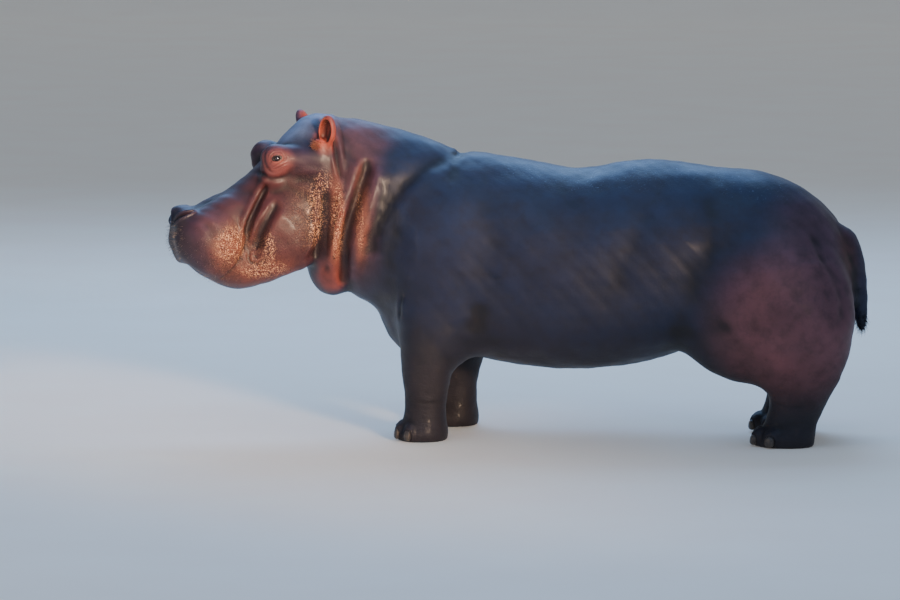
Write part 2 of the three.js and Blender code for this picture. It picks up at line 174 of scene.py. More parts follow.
trunkForm = blend(
    0.09,
    barrel(trunkStations, 0.25, 0.695, 2.3),
    mass((-0.42, 0, 0.66), (0.29, 0.32, 0.30)),  # chest
    mass((-0.30, 0.265, 0.83), (0.30, 0.192, 0.43)),  # shoulder
    mass((1.235, 0.235, 0.68), (0.460, 0.226, 0.38)),  # haunch
)
neckForm = blend(
    0.05,
    barrel(neckStations, 0.09, 0.05, 2.1),
    mass((-0.95, 0, 0.805), (0.095, 0.16, 0.108)),  # throat
)
bodyForm = blend(0.07, trunkForm, neckForm)
headForm = blend(
    0.04,
    barrel(skullStations, 0.062, 0.06, 2.4),
    barrel(jawStations, 0.06, 0.06, 2.2),
    mass((-1.575, 0.108, 0.990), (0.178, 0.122, 0.152)),  # upper lip
    mass((-1.195, 0.118, 1.035), (0.195, 0.132, 0.212)),  # cheek
    bar((-1.245, 0.140, 1.390), (-1.040, 0.165, 1.400), 0.060, 0.072),  # brow and temple
    mass((-1.256, 0.152, 1.400), (0.074, 0.062, 0.068)),  # mound of the eye
    mass((-1.692, 0.082, 1.098), (0.058, 0.050, 0.052)),  # mound of the nostril
    mass((-1.262, 0.130, 1.318), (0.064, 0.056, 0.066)),  # under the eye
    mass((-1.425, 0.068, 1.080), (0.205, 0.108, 0.135)),  # side of the muzzle
)


# height, front, back, half width; steps say how far each foot stands from the stride's middle
foreleg = {
    "name": "fore", "across": 0.295, "steps": {-1: -0.035, 1: 0.040},
    "stations": [
        (0.000, -0.556, -0.286, 0.130),
        (0.045, -0.562, -0.282, 0.136),
        (0.120, -0.525, -0.292, 0.114),
        (0.220, -0.520, -0.288, 0.114),
        (0.360, -0.540, -0.255, 0.136),
        (0.520, -0.545, -0.185, 0.146),
        (0.680, -0.520, -0.130, 0.118),
        (0.820, -0.430, -0.220, 0.060),
    ],
}
hindleg = {
    "name": "hind", "across": 0.275, "steps": {-1: 0.025, 1: -0.030},
    "stations": [
        (0.000, 1.200, 1.482, 0.120),
        (0.045, 1.193, 1.488, 0.126),
        (0.120, 1.240, 1.500, 0.106),
        (0.240, 1.262, 1.556, 0.112),
        (0.360, 1.205, 1.618, 0.148),
        (0.520, 1.110, 1.655, 0.178),
        (0.700, 1.090, 1.620, 0.148),
        (0.860, 1.180, 1.500, 0.070),
    ],
}
toe = {
    "angles": (-66, -23, 23, 66),  # degrees from straight ahead
    "radii": (0.052, 0.044, 0.050),
    "setBack": 0.026,
    "high": 0.046,
    "blend": 0.010,
}


def legForm(leg, side):
    table = smoothTable(leg["stations"])

    def form(p):
        x, y, z = p.T
        front, back, half = lookUp(table, z)
        offsets = (x - leg["steps"][side] - (front + back) / 2, y - side * leg["across"])
        flat = ovalDistance(offsets, ((back - front) / 2, half), 2.2)
        return np.maximum(flat, z - table[-1, 0])
    return form


def toesOf(leg, side):  # where each toe ends and the way it points
    front, back, half = lookUp(smoothTable(leg["stations"]), toe["high"])
    middle = np.array(((front + back) / 2 + leg["steps"][side], side * leg["across"], 0))
    for angle in toe["angles"]:
        turn = math.radians(angle)
        heading = np.array((-math.cos(turn), side * math.sin(turn), 0))
        yield middle + heading * ((back - front) / 2, half, 0), heading, -side * turn


def footForm(leg, side):
    pads = [ball(tip - heading * toe["setBack"] + (0, 0, toe["high"]), toe["radii"])
            for tip, heading, _ in toesOf(leg, side)]
    return blend(toe["blend"], legForm(leg, side), *pads)


# x, z, half depth, half width
tailStations = [
    (1.510, 1.070, 0.050, 0.060),
    (1.592, 0.985, 0.098, 0.096),
    (1.642, 0.900, 0.088, 0.084),
    (1.680, 0.800, 0.066, 0.062),
    (1.702, 0.710, 0.048, 0.042),
    (1.716, 0.630, 0.033, 0.026),
    (1.722, 0.570, 0.022, 0.014),
    (1.724, 0.530, 0.010, 0.007),
]


def tailForm():
    rows = smoothTable([(i, *s) for i, s in enumerate(tailStations)], 60)
    curve = np.column_stack([rows[:, 1], np.zeros(len(rows)), rows[:, 2]])
    steps = np.diff(curve, axis=0)
    reach = np.concatenate([[0], np.cumsum(np.linalg.norm(steps, axis=1))])
    heading = np.gradient(curve, axis=0)
    heading /= np.linalg.norm(heading, axis=1)[:, None]

    def form(p):
        along = nearestOn(p, curve[::2])[1]

        def at(values):
            return np.interp(along, reach, values)
        x, y, z = (p - np.column_stack([at(curve[:, k]) for k in range(3)])).T
        aheadX, aheadZ = at(heading[:, 0]), at(heading[:, 2])
        deep, wide = at(rows[:, 3]), at(rows[:, 4])
        return ovalDistance((z * aheadX - x * aheadZ, y, x * aheadX + z * aheadZ), (deep, wide, deep))
    return form


# the x range of each pair of legs, how far each may pass the middle, and how high it goes
legReach = {"fore": (-0.75, 0.05), "hind": (0.95, 1.80), "across": -0.05, "top": 0.98}
joinSoftness = {"legs": 0.09, "head": 0.045, "tail": 0.030, "floor": 0.014}  # where they meet the body
legForms = {(leg["name"], side): footForm(leg, side) for leg in (foreleg, hindleg) for side in (-1, 1)}


def bodyWithLegs(p):
    value = bodyForm(p)
    for (name, side), form in legForms.items():
        front, back = legReach[name]
        near = np.flatnonzero((p[:, 0] > front) & (p[:, 0] < back)
                              & (p[:, 1] * side > legReach["across"]) & (p[:, 2] < legReach["top"]))
        if len(near):
            value[near] = softMin(joinSoftness["legs"], value[near], form(p[near]))
    return value


# Each line is drawn down the side of the body in x and z, or in x, y and z where it rounds
# the front. Depth is how far the hide sinks there, and a ridge has a negative depth. Ahead
# and behind are how far the slopes run to either side.
foldLines = {
    "foldFront": {"points": [(-1.296, 1.275), (-1.330, 1.212), (-1.368, 1.150), (-1.400, 1.090),
                             (-1.412, 1.040), (-1.407, 1.000)],
                  "depth": 0.021, "ahead": 0.009, "behind": 0.017},
    "foldFrontRidge": {"points": [(-1.290, 1.325), (-1.332, 1.255), (-1.378, 1.178), (-1.420, 1.100),
                                  (-1.442, 1.030)],
                       "depth": -0.014, "ahead": 0.018, "behind": 0.012},
    "foldBack": {"points": [(-1.252, 1.200), (-1.292, 1.140), (-1.328, 1.080), (-1.352, 1.010),
                            (-1.365, 0.935)],
                 "depth": 0.036, "ahead": 0.015, "behind": 0.026},
    "foldBackRidge": {"points": [(-1.300, 1.190), (-1.338, 1.130), (-1.366, 1.070), (-1.384, 1.000)],
                      "depth": -0.009, "ahead": 0.012, "behind": 0.012},
    "foldLoop": {"points": [(-1.365, 0.945), (-1.384, 0.918), (-1.368, 0.896), (-1.338, 0.905),
                            (-1.322, 0.950)],
                 "depth": -0.007, "ahead": 0.009, "behind": 0.009},
    "foldLoopUnder": {"points": [(-1.400, 0.935), (-1.395, 0.890), (-1.350, 0.876)],
                      "depth": 0.006, "ahead": 0.007, "behind": 0.007},
    "mouth": {"points": [(-1.405, 1.020), (-1.425, 0.952), (-1.452, 0.897), (-1.490, 0.848), (-1.528, 0.812)],
              "depth": 0.0045, "ahead": 0.006, "behind": 0.011, "open": True},
    "mouthFront": {"points": [(-1.528, 0.168, 0.812), (-1.600, 0.150, 0.796), (-1.680, 0.105, 0.826),
                              (-1.730, 0.055, 0.858), (-1.742, 0.000, 0.866)],
                   "depth": 0.015, "ahead": 0.010, "behind": 0.010, "open": True},
    "mouthRipple": {"points": [(-1.428, 1.020), (-1.448, 0.962), (-1.476, 0.905)],
                    "depth": -0.004, "ahead": 0.009, "behind": 0.007},
    "underMound": {"points": [(-1.335, 1.335), (-1.300, 1.305), (-1.250, 1.302), (-1.195, 1.322)],
                   "depth": 0.011, "ahead": 0.012, "behind": 0.014},
    "cheekGroove": {"points": [(-1.028, 1.265), (-1.040, 1.170), (-1.046, 1.055), (-1.055, 0.975),
                               (-1.100, 0.895)],
                    "depth": 0.040, "ahead": 0.015, "behind": 0.052},
    "earCrease": {"points": [(-0.975, 1.505), (-0.969, 1.435), (-0.961, 1.355), (-0.944, 1.275)],
                  "depth": 0.022, "ahead": 0.008, "behind": 0.022},
    "neckCrease": {"points": [(-0.775, 1.405), (-0.840, 1.255), (-0.893, 1.125), (-0.928, 1.010),
                              (-0.934, 0.885), (-0.915, 0.760)],
                   "depth": 0.050, "ahead": 0.020, "behind": 0.034},
    "frontRidge": {"points": [(-0.845, 1.390), (-0.905, 1.240), (-0.955, 1.100), (-0.982, 0.960),
                              (-0.990, 0.850)],
                   "depth": -0.018, "ahead": 0.032, "behind": 0.020},
    "backRidge": {"points": [(-0.705, 1.370), (-0.790, 1.140), (-0.848, 0.990), (-0.880, 0.850)],
                  "depth": -0.018, "ahead": 0.022, "behind": 0.044},
    "backRidgeCrease": {"points": [(-0.650, 1.300), (-0.730, 1.110), (-0.792, 0.950), (-0.820, 0.830)],
                        "depth": 0.004, "ahead": 0.026, "behind": 0.040},
    "neckLine": {"points": [(-0.965, 1.180), (-0.985, 1.060), (-1.000, 0.930)],
                 "depth": 0.004, "ahead": 0.008, "behind": 0.008},
    "shoulderValley": {"points": [(-0.300, 1.415), (-0.433, 1.360), (-0.569, 1.260), (-0.671, 1.142),
                                  (-0.742, 1.015), (-0.760, 0.900)],
                       "depth": 0.016, "ahead": 0.050, "behind": 0.034},
    "temple": {"points": [(-1.190, 1.325), (-1.120, 1.345), (-1.015, 1.340)],
               "depth": -0.007, "ahead": 0.016, "behind": 0.016},
    "underTemple": {"points": [(-1.190, 1.282), (-1.118, 1.295), (-1.045, 1.290)],
                    "depth": 0.009, "ahead": 0.020, "behind": 0.020},
    "noseSide": {"points": [(-1.640, 1.100), (-1.600, 1.060), (-1.585, 1.000)],
                 "depth": 0.006, "ahead": 0.016, "behind": 0.020},
    "tailFold": {"points": [(1.475, 1.078), (1.537, 0.960), (1.611, 0.835), (1.645, 0.735), (1.648, 0.600)],
                 "depth": 0.012, "ahead": 0.022, "behind": 0.046},
    "flankFront": {"points": [(0.700, 1.220), (0.612, 0.980), (0.516, 0.740)],
                   "depth": 0.006, "ahead": 0.070, "behind": 0.070},
    "flankBack": {"points": [(0.900, 1.000), (0.915, 0.820), (0.985, 0.640)],
                  "depth": 0.005, "ahead": 0.070, "behind": 0.050},
    "haunchFold": {"points": [(1.010, 0.760), (1.060, 0.640), (1.120, 0.560)],
                   "depth": 0.009, "ahead": 0.050, "behind": 0.050},
    "elbowFold": {"points": [(-0.115, 0.720), (-0.150, 0.620), (-0.200, 0.540)],
                  "depth": 0.014, "ahead": 0.050, "behind": 0.050},
    "armpitFold": {"points": [(-0.560, 0.760), (-0.580, 0.670), (-0.585, 0.590)],
                   "depth": 0.010, "ahead": 0.018, "behind": 0.018},
    "wristFold": {"points": [(-0.500, 0.210), (-0.400, 0.196), (-0.310, 0.205)],
                  "depth": 0.003, "ahead": 0.010, "behind": 0.010},
    "hockFold": {"points": [(1.300, 0.235), (1.400, 0.205), (1.500, 0.220)],
                 "depth": 0.003, "ahead": 0.011, "behind": 0.011},
    "scar": {"points": [(-0.075, 0.835), (-0.045, 0.830), (-0.015, 0.845)],
             "depth": 0.0015, "ahead": 0.009, "behind": 0.009, "left": True},
}
foldShape = {
    "rightSide": 0.75,  # share of the depth where the turned head stretches the hide
    "endShare": 0.35, "endMost": 0.075,  # how much of a line's length it takes to reach its depth
    "sharpness": 1.7,
    "swelling": 0.16, "swellingAt": 2.1, "swellingWidth": 0.9,  # of the hide beside a crease
    "reach": 3.4,  # widths from the line
    "step": 0.022,  # metres between points of a line
}


def onSide(places, side):  # the hide at places seen from the side
    x, z = np.array(places).T
    widest = 0.7
    low, high = np.zeros(len(x)), np.full(len(x), widest)
    for _ in range(24):  # halves the range each time
        y = (low + high) / 2
        p = np.column_stack([x, side * y, z])
        inside = softMin(joinSoftness["head"], bodyWithLegs(p), headForm(p)) < 0
        low, high = np.where(inside, y, low), np.where(inside, high, y)
    return np.column_stack([x, side * low, z])


def curveThrough(points, spacing):  # a smooth curve through a few points
    points = np.array(points, float)
    ends = np.vstack([2 * points[0] - points[1], points, 2 * points[-1] - points[-2]])
    curve = []
    for a, b, c, d in zip(ends, ends[1:], ends[2:], ends[3:]):
        t = np.linspace(0, 1, max(2, int(np.linalg.norm(c - b) / spacing)), endpoint=False)[:, None]
        curve.append(0.5 * (2 * b + (c - a) * t + (2 * a - 5 * b + 4 * c - d) * t ** 2
                            + (3 * b - a - 3 * c + d) * t ** 3))
    return np.vstack(curve + [points[-1:]])


def nearestOn(p, curve):  # distance from a curve, how far along it, its length, and whether behind it
    best = np.full(len(p), 9.0)
    along = np.zeros(len(p))
    behind = np.zeros(len(p), bool)
    done = 0.0
    for a, b in zip(curve, curve[1:]):
        length = np.linalg.norm(b - a)
        t = np.clip((p - a) @ (b - a) / length ** 2, 0, 1)
        off = p - a - t[:, None] * (b - a)
        d = np.linalg.norm(off, axis=1)
        nearer = d < best
        best[nearer] = d[nearer]
        along[nearer] = (done + t * length)[nearer]
        behind[nearer] = ((b[0] - a[0]) * off[:, 2] - (b[2] - a[2]) * off[:, 0] > 0)[nearer]
        done += length
    return best, along, done, behind


def prepareFolds():
    prepared = []
    for line in foldLines.values():
        reach = foldShape["reach"] * max(line["ahead"], line["behind"])
        for side in (-1, 1):
            if side > 0 and line.get("left"):
                continue
            curve = curveThrough(line["points"], foldShape["step"])
            curve = onSide(curve, side) if curve.shape[1] == 2 else curve * (1, side, 1)
            share = 1.0 if side < 0 or line.get("open") else foldShape["rightSide"]
            prepared.append({**line, "curve": curve, "depth": line["depth"] * share,
                             "low": curve.min(0) - reach, "high": curve.max(0) + reach})
    return prepared


def nearFold(p, fold):
    return np.flatnonzero(((p > fold["low"]) & (p < fold["high"])).all(1))


def foldDepth(p):  # how far the hide sinks at each point
    depth = np.zeros(len(p))
    for fold in folds:
        near = nearFold(p, fold)
        if not len(near):
            continue
        d, along, length, behind = nearestOn(p[near], fold["curve"])
        ease = min(foldShape["endShare"] * length, foldShape["endMost"])
        taper = 1.0
        if not fold.get("open"):
            taper = smooth(-0.1 * ease, ease, along) * smooth(-0.1 * ease, ease, length - along)
        width = np.where(behind, fold["behind"], fold["ahead"])
        d = d / width
        if fold["depth"] > 0:  # a crease, with a swelling on either side
            profile = np.exp(-d ** foldShape["sharpness"]) - foldShape["swelling"] * bump(
                d - foldShape["swellingAt"], foldShape["swellingWidth"])
        else:
            profile = bump(d, 1.0)
        depth[near] += fold["depth"] * profile * taper
    return depth


eye = {
    "center": (-1.256, 0.197, 1.404),
    "radius": 0.024,
    "outward": (-0.25, 0.93, 0.15),
    "ahead": (-1.0, 0, -0.12),
    "halfWidth": 0.0218,  # of the opening between the lids
    "halfHeight": 0.0120,
    "cornerLower": 0.10,  # how much the inner corner lies lower, for each metre
    "lidThick": 0.0035,
    "lidBlend": 0.016,
    "edgeBlend": 0.0025,
    "reach": 0.12,  # how far round the eye its wrinkles can go
    "ringSize": (0.0235, 0.0195),  # the ring that a place of 1 stands for
    "rings": [  # place, width, height all round, height added above the eye; a minus stands out
        (1.27, 0.12, -0.0015, -0.0015),
        (1.52, 0.11, 0.0012, 0.0030),
        (1.80, 0.16, -0.0002, -0.0028),
        (2.10, 0.12, 0, 0.0026),
        (2.42, 0.18, 0, -0.0014),
        (2.74, 0.15, 0, 0.0020),
    ],
    "linesTilt": 0.30,
    "lines": [  # that run down and forwards under the eye: how far below, width, depth
        (0.0305, 0.0030, 0.0026),
        (0.0370, 0.0036, -0.0020),
        (0.0445, 0.0032, 0.0026),
        (0.0510, 0.0036, -0.0012),
        (0.0580, 0.0034, 0.0018),
    ],
    "moundEdge": {"out": 0.061, "width": 0.0065, "depth": 0.0095},  # groove ahead of the eye's mound
    "tear": {"ahead": 0.018, "slope": 0.60, "width": 0.0034, "depth": 0.0034},  # crease from the inner corner
}


def eyeAxes(side):  # out of the eye, towards the nose, and up
    out = np.array(eye["outward"]) * (1, side, 1)
    out /= np.linalg.norm(out)
    ahead = np.array(eye["ahead"])
    ahead -= out * (ahead @ out)
    ahead /= np.linalg.norm(ahead)
    up = np.cross(ahead, out) * -side
    return out, ahead, up if up[2] > 0 else -up


def eyeCenter(side):
    return np.array(eye["center"]) * (1, side, 1)


def eyeWrinkles(forward, u, v):  # u runs towards the nose and v up
    angle = np.arctan2(v, u)
    uneven = 0.72 + 0.28 * np.sin(1.7 * angle + 1.0)
    wide, tall = eye["ringSize"]
    ring = np.sqrt(((u + 0.001) / wide) ** 2 + ((v - 0.002) / tall) ** 2) + 0.07 * np.sin(2.3 * angle + 0.8)
    above = smooth(-0.008, 0.012, v - 0.3 * u)
    waves = sum((height + more * above) * bump(ring - at, width) for at, width, height, more in eye["rings"])
    slope = v + eye["linesTilt"] * u
    under = sum(depth * bump(slope + below, width) for below, width, depth in eye["lines"])
    under *= smooth(0.050, 0.022, np.abs(u + 0.004))
    edge, tear = eye["moundEdge"], eye["tear"]
    mound = edge["depth"] * bump(np.hypot(u * 0.92, v * 0.80) - edge["out"], edge["width"])
    mound *= smooth(0.0, 0.045, u)
    corner = tear["depth"] * bump(v + tear["slope"] * (u - tear["ahead"]) + 0.004, tear["width"])
    corner *= bump(u - 0.033, 0.012)
    return (waves * uneven * smooth(4.2, 2.6, ring) + under + mound + corner) * smooth(-0.02, 0.01, forward)


def eyeOpening(forward, u, v, distance, grown):  # distance from the hollow that the lids leave open
    lids = np.maximum(1 - np.abs(u / eye["halfWidth"]) ** 2.4, 0) * eye["halfHeight"]
    past = np.maximum(np.abs(u) - eye["halfWidth"], 0)
    high = np.abs(v + 0.001 + eye["cornerLower"] * u) - lids
    almond = np.hypot(np.maximum(high, 0), past)
    almond = np.where(almond > 0, almond, high)
    floor = np.maximum(eye["radius"] - 0.004 - distance, 0.006 - forward)  # just inside the eyeball
    return np.maximum(almond + (1 - grown) * 0.014, floor)


def eyeField(p, value, grown):  # lids, the rings of wrinkles round them, and the opening
    for side in (-1, 1):
        q = p - eyeCenter(side)
        near = np.flatnonzero(np.linalg.norm(q, axis=1) < eye["reach"])
        if not len(near):
            continue
        q = q[near]
        out, ahead, up = eyeAxes(side)
        forward, u, v = q @ out, q @ ahead, q @ up
        distance = np.linalg.norm(q, axis=1)
        hide = softMin(eye["lidBlend"], value[near], distance - (eye["radius"] + eye["lidThick"]))
        hide = hide + eyeWrinkles(forward, u, v) * grown
        value[near] = softMax(eye["edgeBlend"], hide, -eyeOpening(forward, u, v, distance, grown))
    return value


ear = {
    "radii": (0.030, 0.050, 0.090),  # deep, wide, tall
    "root": 0.72,  # share of the width at the root
    "cup": (0.029, 0.039, 0.067),
    "cupForward": 0.018,
    "cupHigh": 0.006,
    "ribHeight": 0.003, "ribSize": 0.0055,  # inside the cup
    "pad": (-1.030, 0.196, 1.462),  # swelling under the ear
    "padRadii": (0.052, 0.030, 0.038),
    "creaseHeight": 0.0022, "creaseSize": 0.0034,  # on the pad
    "reach": 0.19,
    -1: {"place": (-1.006, 0.209, 1.530), "lean": -0.05, "spread": 0.28, "facing": 0.7},  # left ear
    1: {"place": (-1.040, 0.209, 1.530), "lean": 0.30, "spread": 0.28, "facing": 0.7},
}


def earFrame(side):
    own = ear[side]
    turn = (Matrix.Rotation(-own["lean"], 3, "Y") @ Matrix.Rotation(-side * own["spread"], 3, "X")
            @ Matrix.Rotation(-side * own["facing"], 3, "Z"))
    return np.array(own["place"]) * (1, side, 1), np.array(turn)


def earField(p, value, grown):
    for side in (-1, 1):
        center, turn = earFrame(side)
        near = np.flatnonzero(np.linalg.norm(p - center, axis=1) < ear["reach"])
        if not len(near):
            continue
        deep, wide, tall = ((p[near] - center) @ turn).T
        narrow = ear["root"] + (1 - ear["root"]) * smooth(-0.085, 0.005, tall)
        shell = ovalDistance((deep / narrow, wide / narrow, tall), ear["radii"], 2.1)
        forward = deep + ear["cupForward"] + (1 - grown) * 0.05
        cup = ovalDistance((forward, wide / narrow, tall - ear["cupHigh"]), ear["cup"])
        cup += ear["ribHeight"] * np.cos(wide / ear["ribSize"]) * bump(tall + 0.02, 0.05)
        shell = softMax(0.007, shell, -cup)
        base = p[near] - np.array(ear["pad"]) * (1, side, 1)
        pad = ovalDistance(base.T, ear["padRadii"])
        pad += ear["creaseHeight"] * np.cos((base[:, 0] * 0.8 + base[:, 2]) / ear["creaseSize"]) * grown
        shell = softMin(0.020, shell, pad)
        value[near] = softMin(0.014, value[near], shell)
    return value


nostril = {
    "points": [(-1.744, 0.050, 1.070), (-1.752, 0.078, 1.098), (-1.736, 0.106, 1.120), (-1.700, 0.118, 1.136),
               (-1.665, 0.112, 1.143)],
    "inward": (0.78, -0.38, -0.50),
    "deep": 0.027,
    "radius": 0.0145,
    "rim": 0.0065, "rimOut": 0.009, "rimWidth": 0.0075,  # how far the hide stands out round it, and where
    "edgeBlend": 0.004,
    "reach": 0.13,
    "step": 0.012,  # metres between points of its line
}


def nostrilField(p, value, grown):
    for side in (-1, 1):
        curve = curveThrough([(x, side * y, z) for x, y, z in nostril["points"]], nostril["step"])
        near = np.flatnonzero(np.linalg.norm(p - curve.mean(0), axis=1) < nostril["reach"])
        if not len(near):
            continue
        inward = np.array(nostril["inward"]) * (1, side, 1)
        inward /= np.linalg.norm(inward)
        d, along, length, _ = nearestOn(p[near], curve)
        share = np.clip(along / length, 0.05, 0.97)
        gape = nostril["radius"] * np.sin(np.pi * share ** 0.7) ** 0.8  # widest near the front
        value[near] -= nostril["rim"] * bump(d - gape - nostril["rimOut"], nostril["rimWidth"]) * grown
        for step in np.linspace(0.2, 1.2, 6):  # shares of its depth
            deeper = nearestOn(p[near], curve + inward * nostril["deep"] * step)[0]
            d = softMin(nostril["edgeBlend"], d, deeper)
        value[near] += nostril["deep"] * smooth(1.05, 0.45, d / (gape + 0.001)) * grown
    return value


nail = {
    "deep": 0.017, "half": 0.025, "tall": 0.026,
    "setForward": 0.017,  # past the toe's tip
    "high": 0.035,
    "lean": 0.15,  # radians
    "square": 2.5,
    "grooves": 9, "grooveDepth": 0.0006,
    "clear": 0.0025,  # above the floor
    "rim": 0.0040, "rimWidth": 0.005, "sunk": 0.0030,  # of the hide round it
    "rings": 18, "around": 32,  # faces
}


def nailFrame(tip, heading, turn):  # the nail's middle, and the way it faces
    facing = Matrix.Rotation(turn, 3, "Z") @ Matrix.Rotation(nail["lean"], 3, "Y")
    return tip + heading * nail["setForward"] + (0, 0, nail["high"]), np.array(facing)


allToes = [found for leg in (foreleg, hindleg) for side in (-1, 1) for found in toesOf(leg, side)]
toeTips = np.array([tip + heading * 0.006 + (0, 0, nail["high"]) for tip, heading, _ in allToes])


def nailBeds(p, value, grown):  # a rim of hide round each nail
    low = np.flatnonzero(p[:, 2] < 0.11)
    for found in allToes:
        center, facing = nailFrame(*found)
        near = low[np.linalg.norm(p[low] - center, axis=1) < 0.075]
        if not len(near):
            continue
        q = (p[near] - center) @ facing
        d = ovalDistance(q.T, (nail["deep"], nail["half"], nail["tall"]), nail["square"])
        rim = nail["rim"] * bump(d - 0.009, nail["rimWidth"])
        value[near] += (nail["sunk"] * bump(d, 0.004) - rim) * grown
    return value


tail = tailForm()
folds = prepareFolds()
swell = {"seed": 7, "count": 14, "height": 0.0007, "waves": (14, 42)}  # slow unevenness of the whole hide
rng = np.random.default_rng(swell["seed"])
swellWaves = rng.normal(size=(swell["count"], 3)) * rng.uniform(*swell["waves"], (swell["count"], 1))
swellStarts = rng.uniform(0, 6.28, swell["count"])


def hideField(p, grown=1.0):  # how far outside the hide; grown is the share of the fine forms that is there
    x, y, z = p.T
    value = bodyWithLegs(p)
    near = np.flatnonzero(x < -0.80)
    value[near] = softMin(joinSoftness["head"], value[near], headForm(p[near]))
    near = np.flatnonzero((x > 1.36) & (np.abs(y) < 0.22) & (z > 0.45) & (z < 1.25))
    value[near] = softMin(joinSoftness["tail"], value[near], tail(p[near]))
    value += foldDepth(p) * grown
    value += swell["height"] * np.sin(p @ swellWaves.T + swellStarts).sum(1) * smooth(0.0, 0.3, z)
    for addForms in (nailBeds, earField, eyeField, nostrilField):
        value = addForms(p, value, grown)
    return softMax(joinSoftness["floor"], value, -z)


def gridSurface(low, high, cell):  # one point in each cell that the hide crosses
    axes = [np.arange(a, b + cell, cell) for a, b in zip(low, high)]
    count = [len(a) for a in axes]
    value = np.empty(count, np.float32)
    for i, x in enumerate(axes[0]):
        yy, zz = np.meshgrid(axes[1], axes[2], indexing="ij")
        slab = np.column_stack([np.full(yy.size, x), yy.ravel(), zz.ravel()])
        value[i] = hideField(slab, 0.0).reshape(yy.shape)
    inside = value < 0
    corners = [(i, j, k) for i in (0, 1) for j in (0, 1) for k in (0, 1)]
    part = [inside[i:count[0] - 1 + i, j:count[1] - 1 + j, k:count[2] - 1 + k] for i, j, k in corners]
    total = sum(c.astype(np.int8) for c in part)
    cells = np.argwhere((total > 0) & (total < 8))
    number = np.full([c - 1 for c in count], -1)
    number[tuple(cells.T)] = np.arange(len(cells))
    points = np.zeros((len(cells), 3))
    crossings = np.zeros(len(cells))
    for a in corners:
        for axis in range(3):
            if a[axis]:
                continue
            b = list(a)
            b[axis] = 1
            va = value[tuple((cells + a).T)]
            vb = value[tuple((cells + b).T)]
            cross = (va < 0) != (vb < 0)
            place = np.tile(np.array(a, float), (len(cells), 1))
            place[:, axis] += va / np.where(cross, va - vb, 1)
            points[cross] += place[cross]
            crossings += cross
    points = (cells + points / crossings[:, None]) * cell + low
    quads = []
    for axis in range(3):
        ends = [slice(1, None)] * 3
        starts = list(ends)
        ends[axis], starts[axis] = slice(1, None), slice(0, -1)
        first, second = inside[tuple(starts)], inside[tuple(ends)]
        at = np.argwhere(first != second)
        at[:, [k for k in range(3) if k != axis]] += 1
        u, v = [k for k in range(3) if k != axis]
        ring = []
        for du, dv in ((-1, -1), (0, -1), (0, 0), (-1, 0)):
            c = at.copy()
            c[:, u] += du
            c[:, v] += dv
            keep = ((c >= 0) & (c < np.array(number.shape))).all(1)
            ring.append(np.where(keep, number[tuple(np.clip(c, 0, np.array(number.shape) - 1).T)], -1))
        ring = np.column_stack(ring)
        out = inside[tuple(at.T)] if axis != 1 else ~inside[tuple(at.T)]
        ring[~out] = ring[~out][:, ::-1]
        quads.append(ring[(ring >= 0).all(1)])
    quads = np.vstack(quads)
    shortFirst = (np.linalg.norm(points[quads[:, 0]] - points[quads[:, 2]], axis=1)
                  < np.linalg.norm(points[quads[:, 1]] - points[quads[:, 3]], axis=1))
    split = np.where(shortFirst[:, None], quads, np.roll(quads, 1, axis=1))
    return points, np.vstack([split[:, [0, 1, 2]], split[:, [0, 2, 3]]])


def towardsHide(points, grown, most):  # the value of the field and its slope, from four points close by
    reach, leastSlope = 0.0012, 0.35
    corners = np.array(((1, 1, 1), (1, -1, -1), (-1, 1, -1), (-1, -1, 1))) / math.sqrt(3)
    values = [hideField(points + corner * reach, grown) for corner in corners]
    slope = sum(v[:, None] * corner for v, corner in zip(values, corners)) * (3 / 4 / reach)
    value = sum(values) / 4
    size = np.linalg.norm(slope, axis=1)
    normal = slope / np.maximum(size, 1e-9)[:, None]
    step = np.clip(value / np.maximum(size, leastSlope), -most, most)
    return step[:, None] * normal, normal


edges = {  # the longest edge of the mesh in each region, and where the region is
    "body": 0.0240,
    "head": (0.0134, -0.98),  # up to this x
    "neck": (0.0180, -0.60, 0.60),  # up to this x, from this height
    "feet": (0.0140, 0.17),  # up to this height
    "tail": (0.0125, 1.56, 0.12),  # from this x, near the middle
    "toe": (0.0082, 0.044),  # this far round each
    "eye": (0.0068, 0.105),
    "lids": (0.0040, 0.052),
    "ear": (0.0062, 0.125),
    "nostril": (0.0052, 0.074),
    "fold": (0.0055, 0.50, 1.1),  # share of its narrower slope, and up to this many widths away
}


def wantedSize(p):  # the edge length that suits each place
    x, y, z = p.T
    size = np.full(len(p), edges["body"])

    def finer(where, edge):
        size[where] = np.minimum(size[where], edge)

    def finerRound(name, center):
        edge, reach = edges[name]
        finer(np.linalg.norm(p - center, axis=1) < reach, edge)
    edge, end = edges["head"]
    finer(x < end, edge)
    edge, end, low = edges["neck"]
    finer((x < end) & (z > low), edge)
    edge, high = edges["feet"]
    finer(z < high, edge)
    for tip in toeTips:
        finerRound("toe", tip)
    edge, start, half = edges["tail"]
    finer((x > start) & (np.abs(y) < half), edge)
    for side in (-1, 1):
        finerRound("eye", eyeCenter(side))
        finerRound("lids", eyeCenter(side))
        finerRound("ear", earFrame(side)[0] - (0, 0, 0.02))
        finerRound("nostril", np.array((-1.72, side * 0.09, 1.11)))
    least, share, widths = edges["fold"]
    for fold in folds:
        near = nearFold(p, fold)
        if len(near):
            d = nearestOn(p[near], fold["curve"])[0]
            close = near[d < widths * (fold["ahead"] + fold["behind"])]
            finer(close, max(least, share * min(fold["ahead"], fold["behind"])))
    return size


splitAt = 1.40  # of the wanted edge length


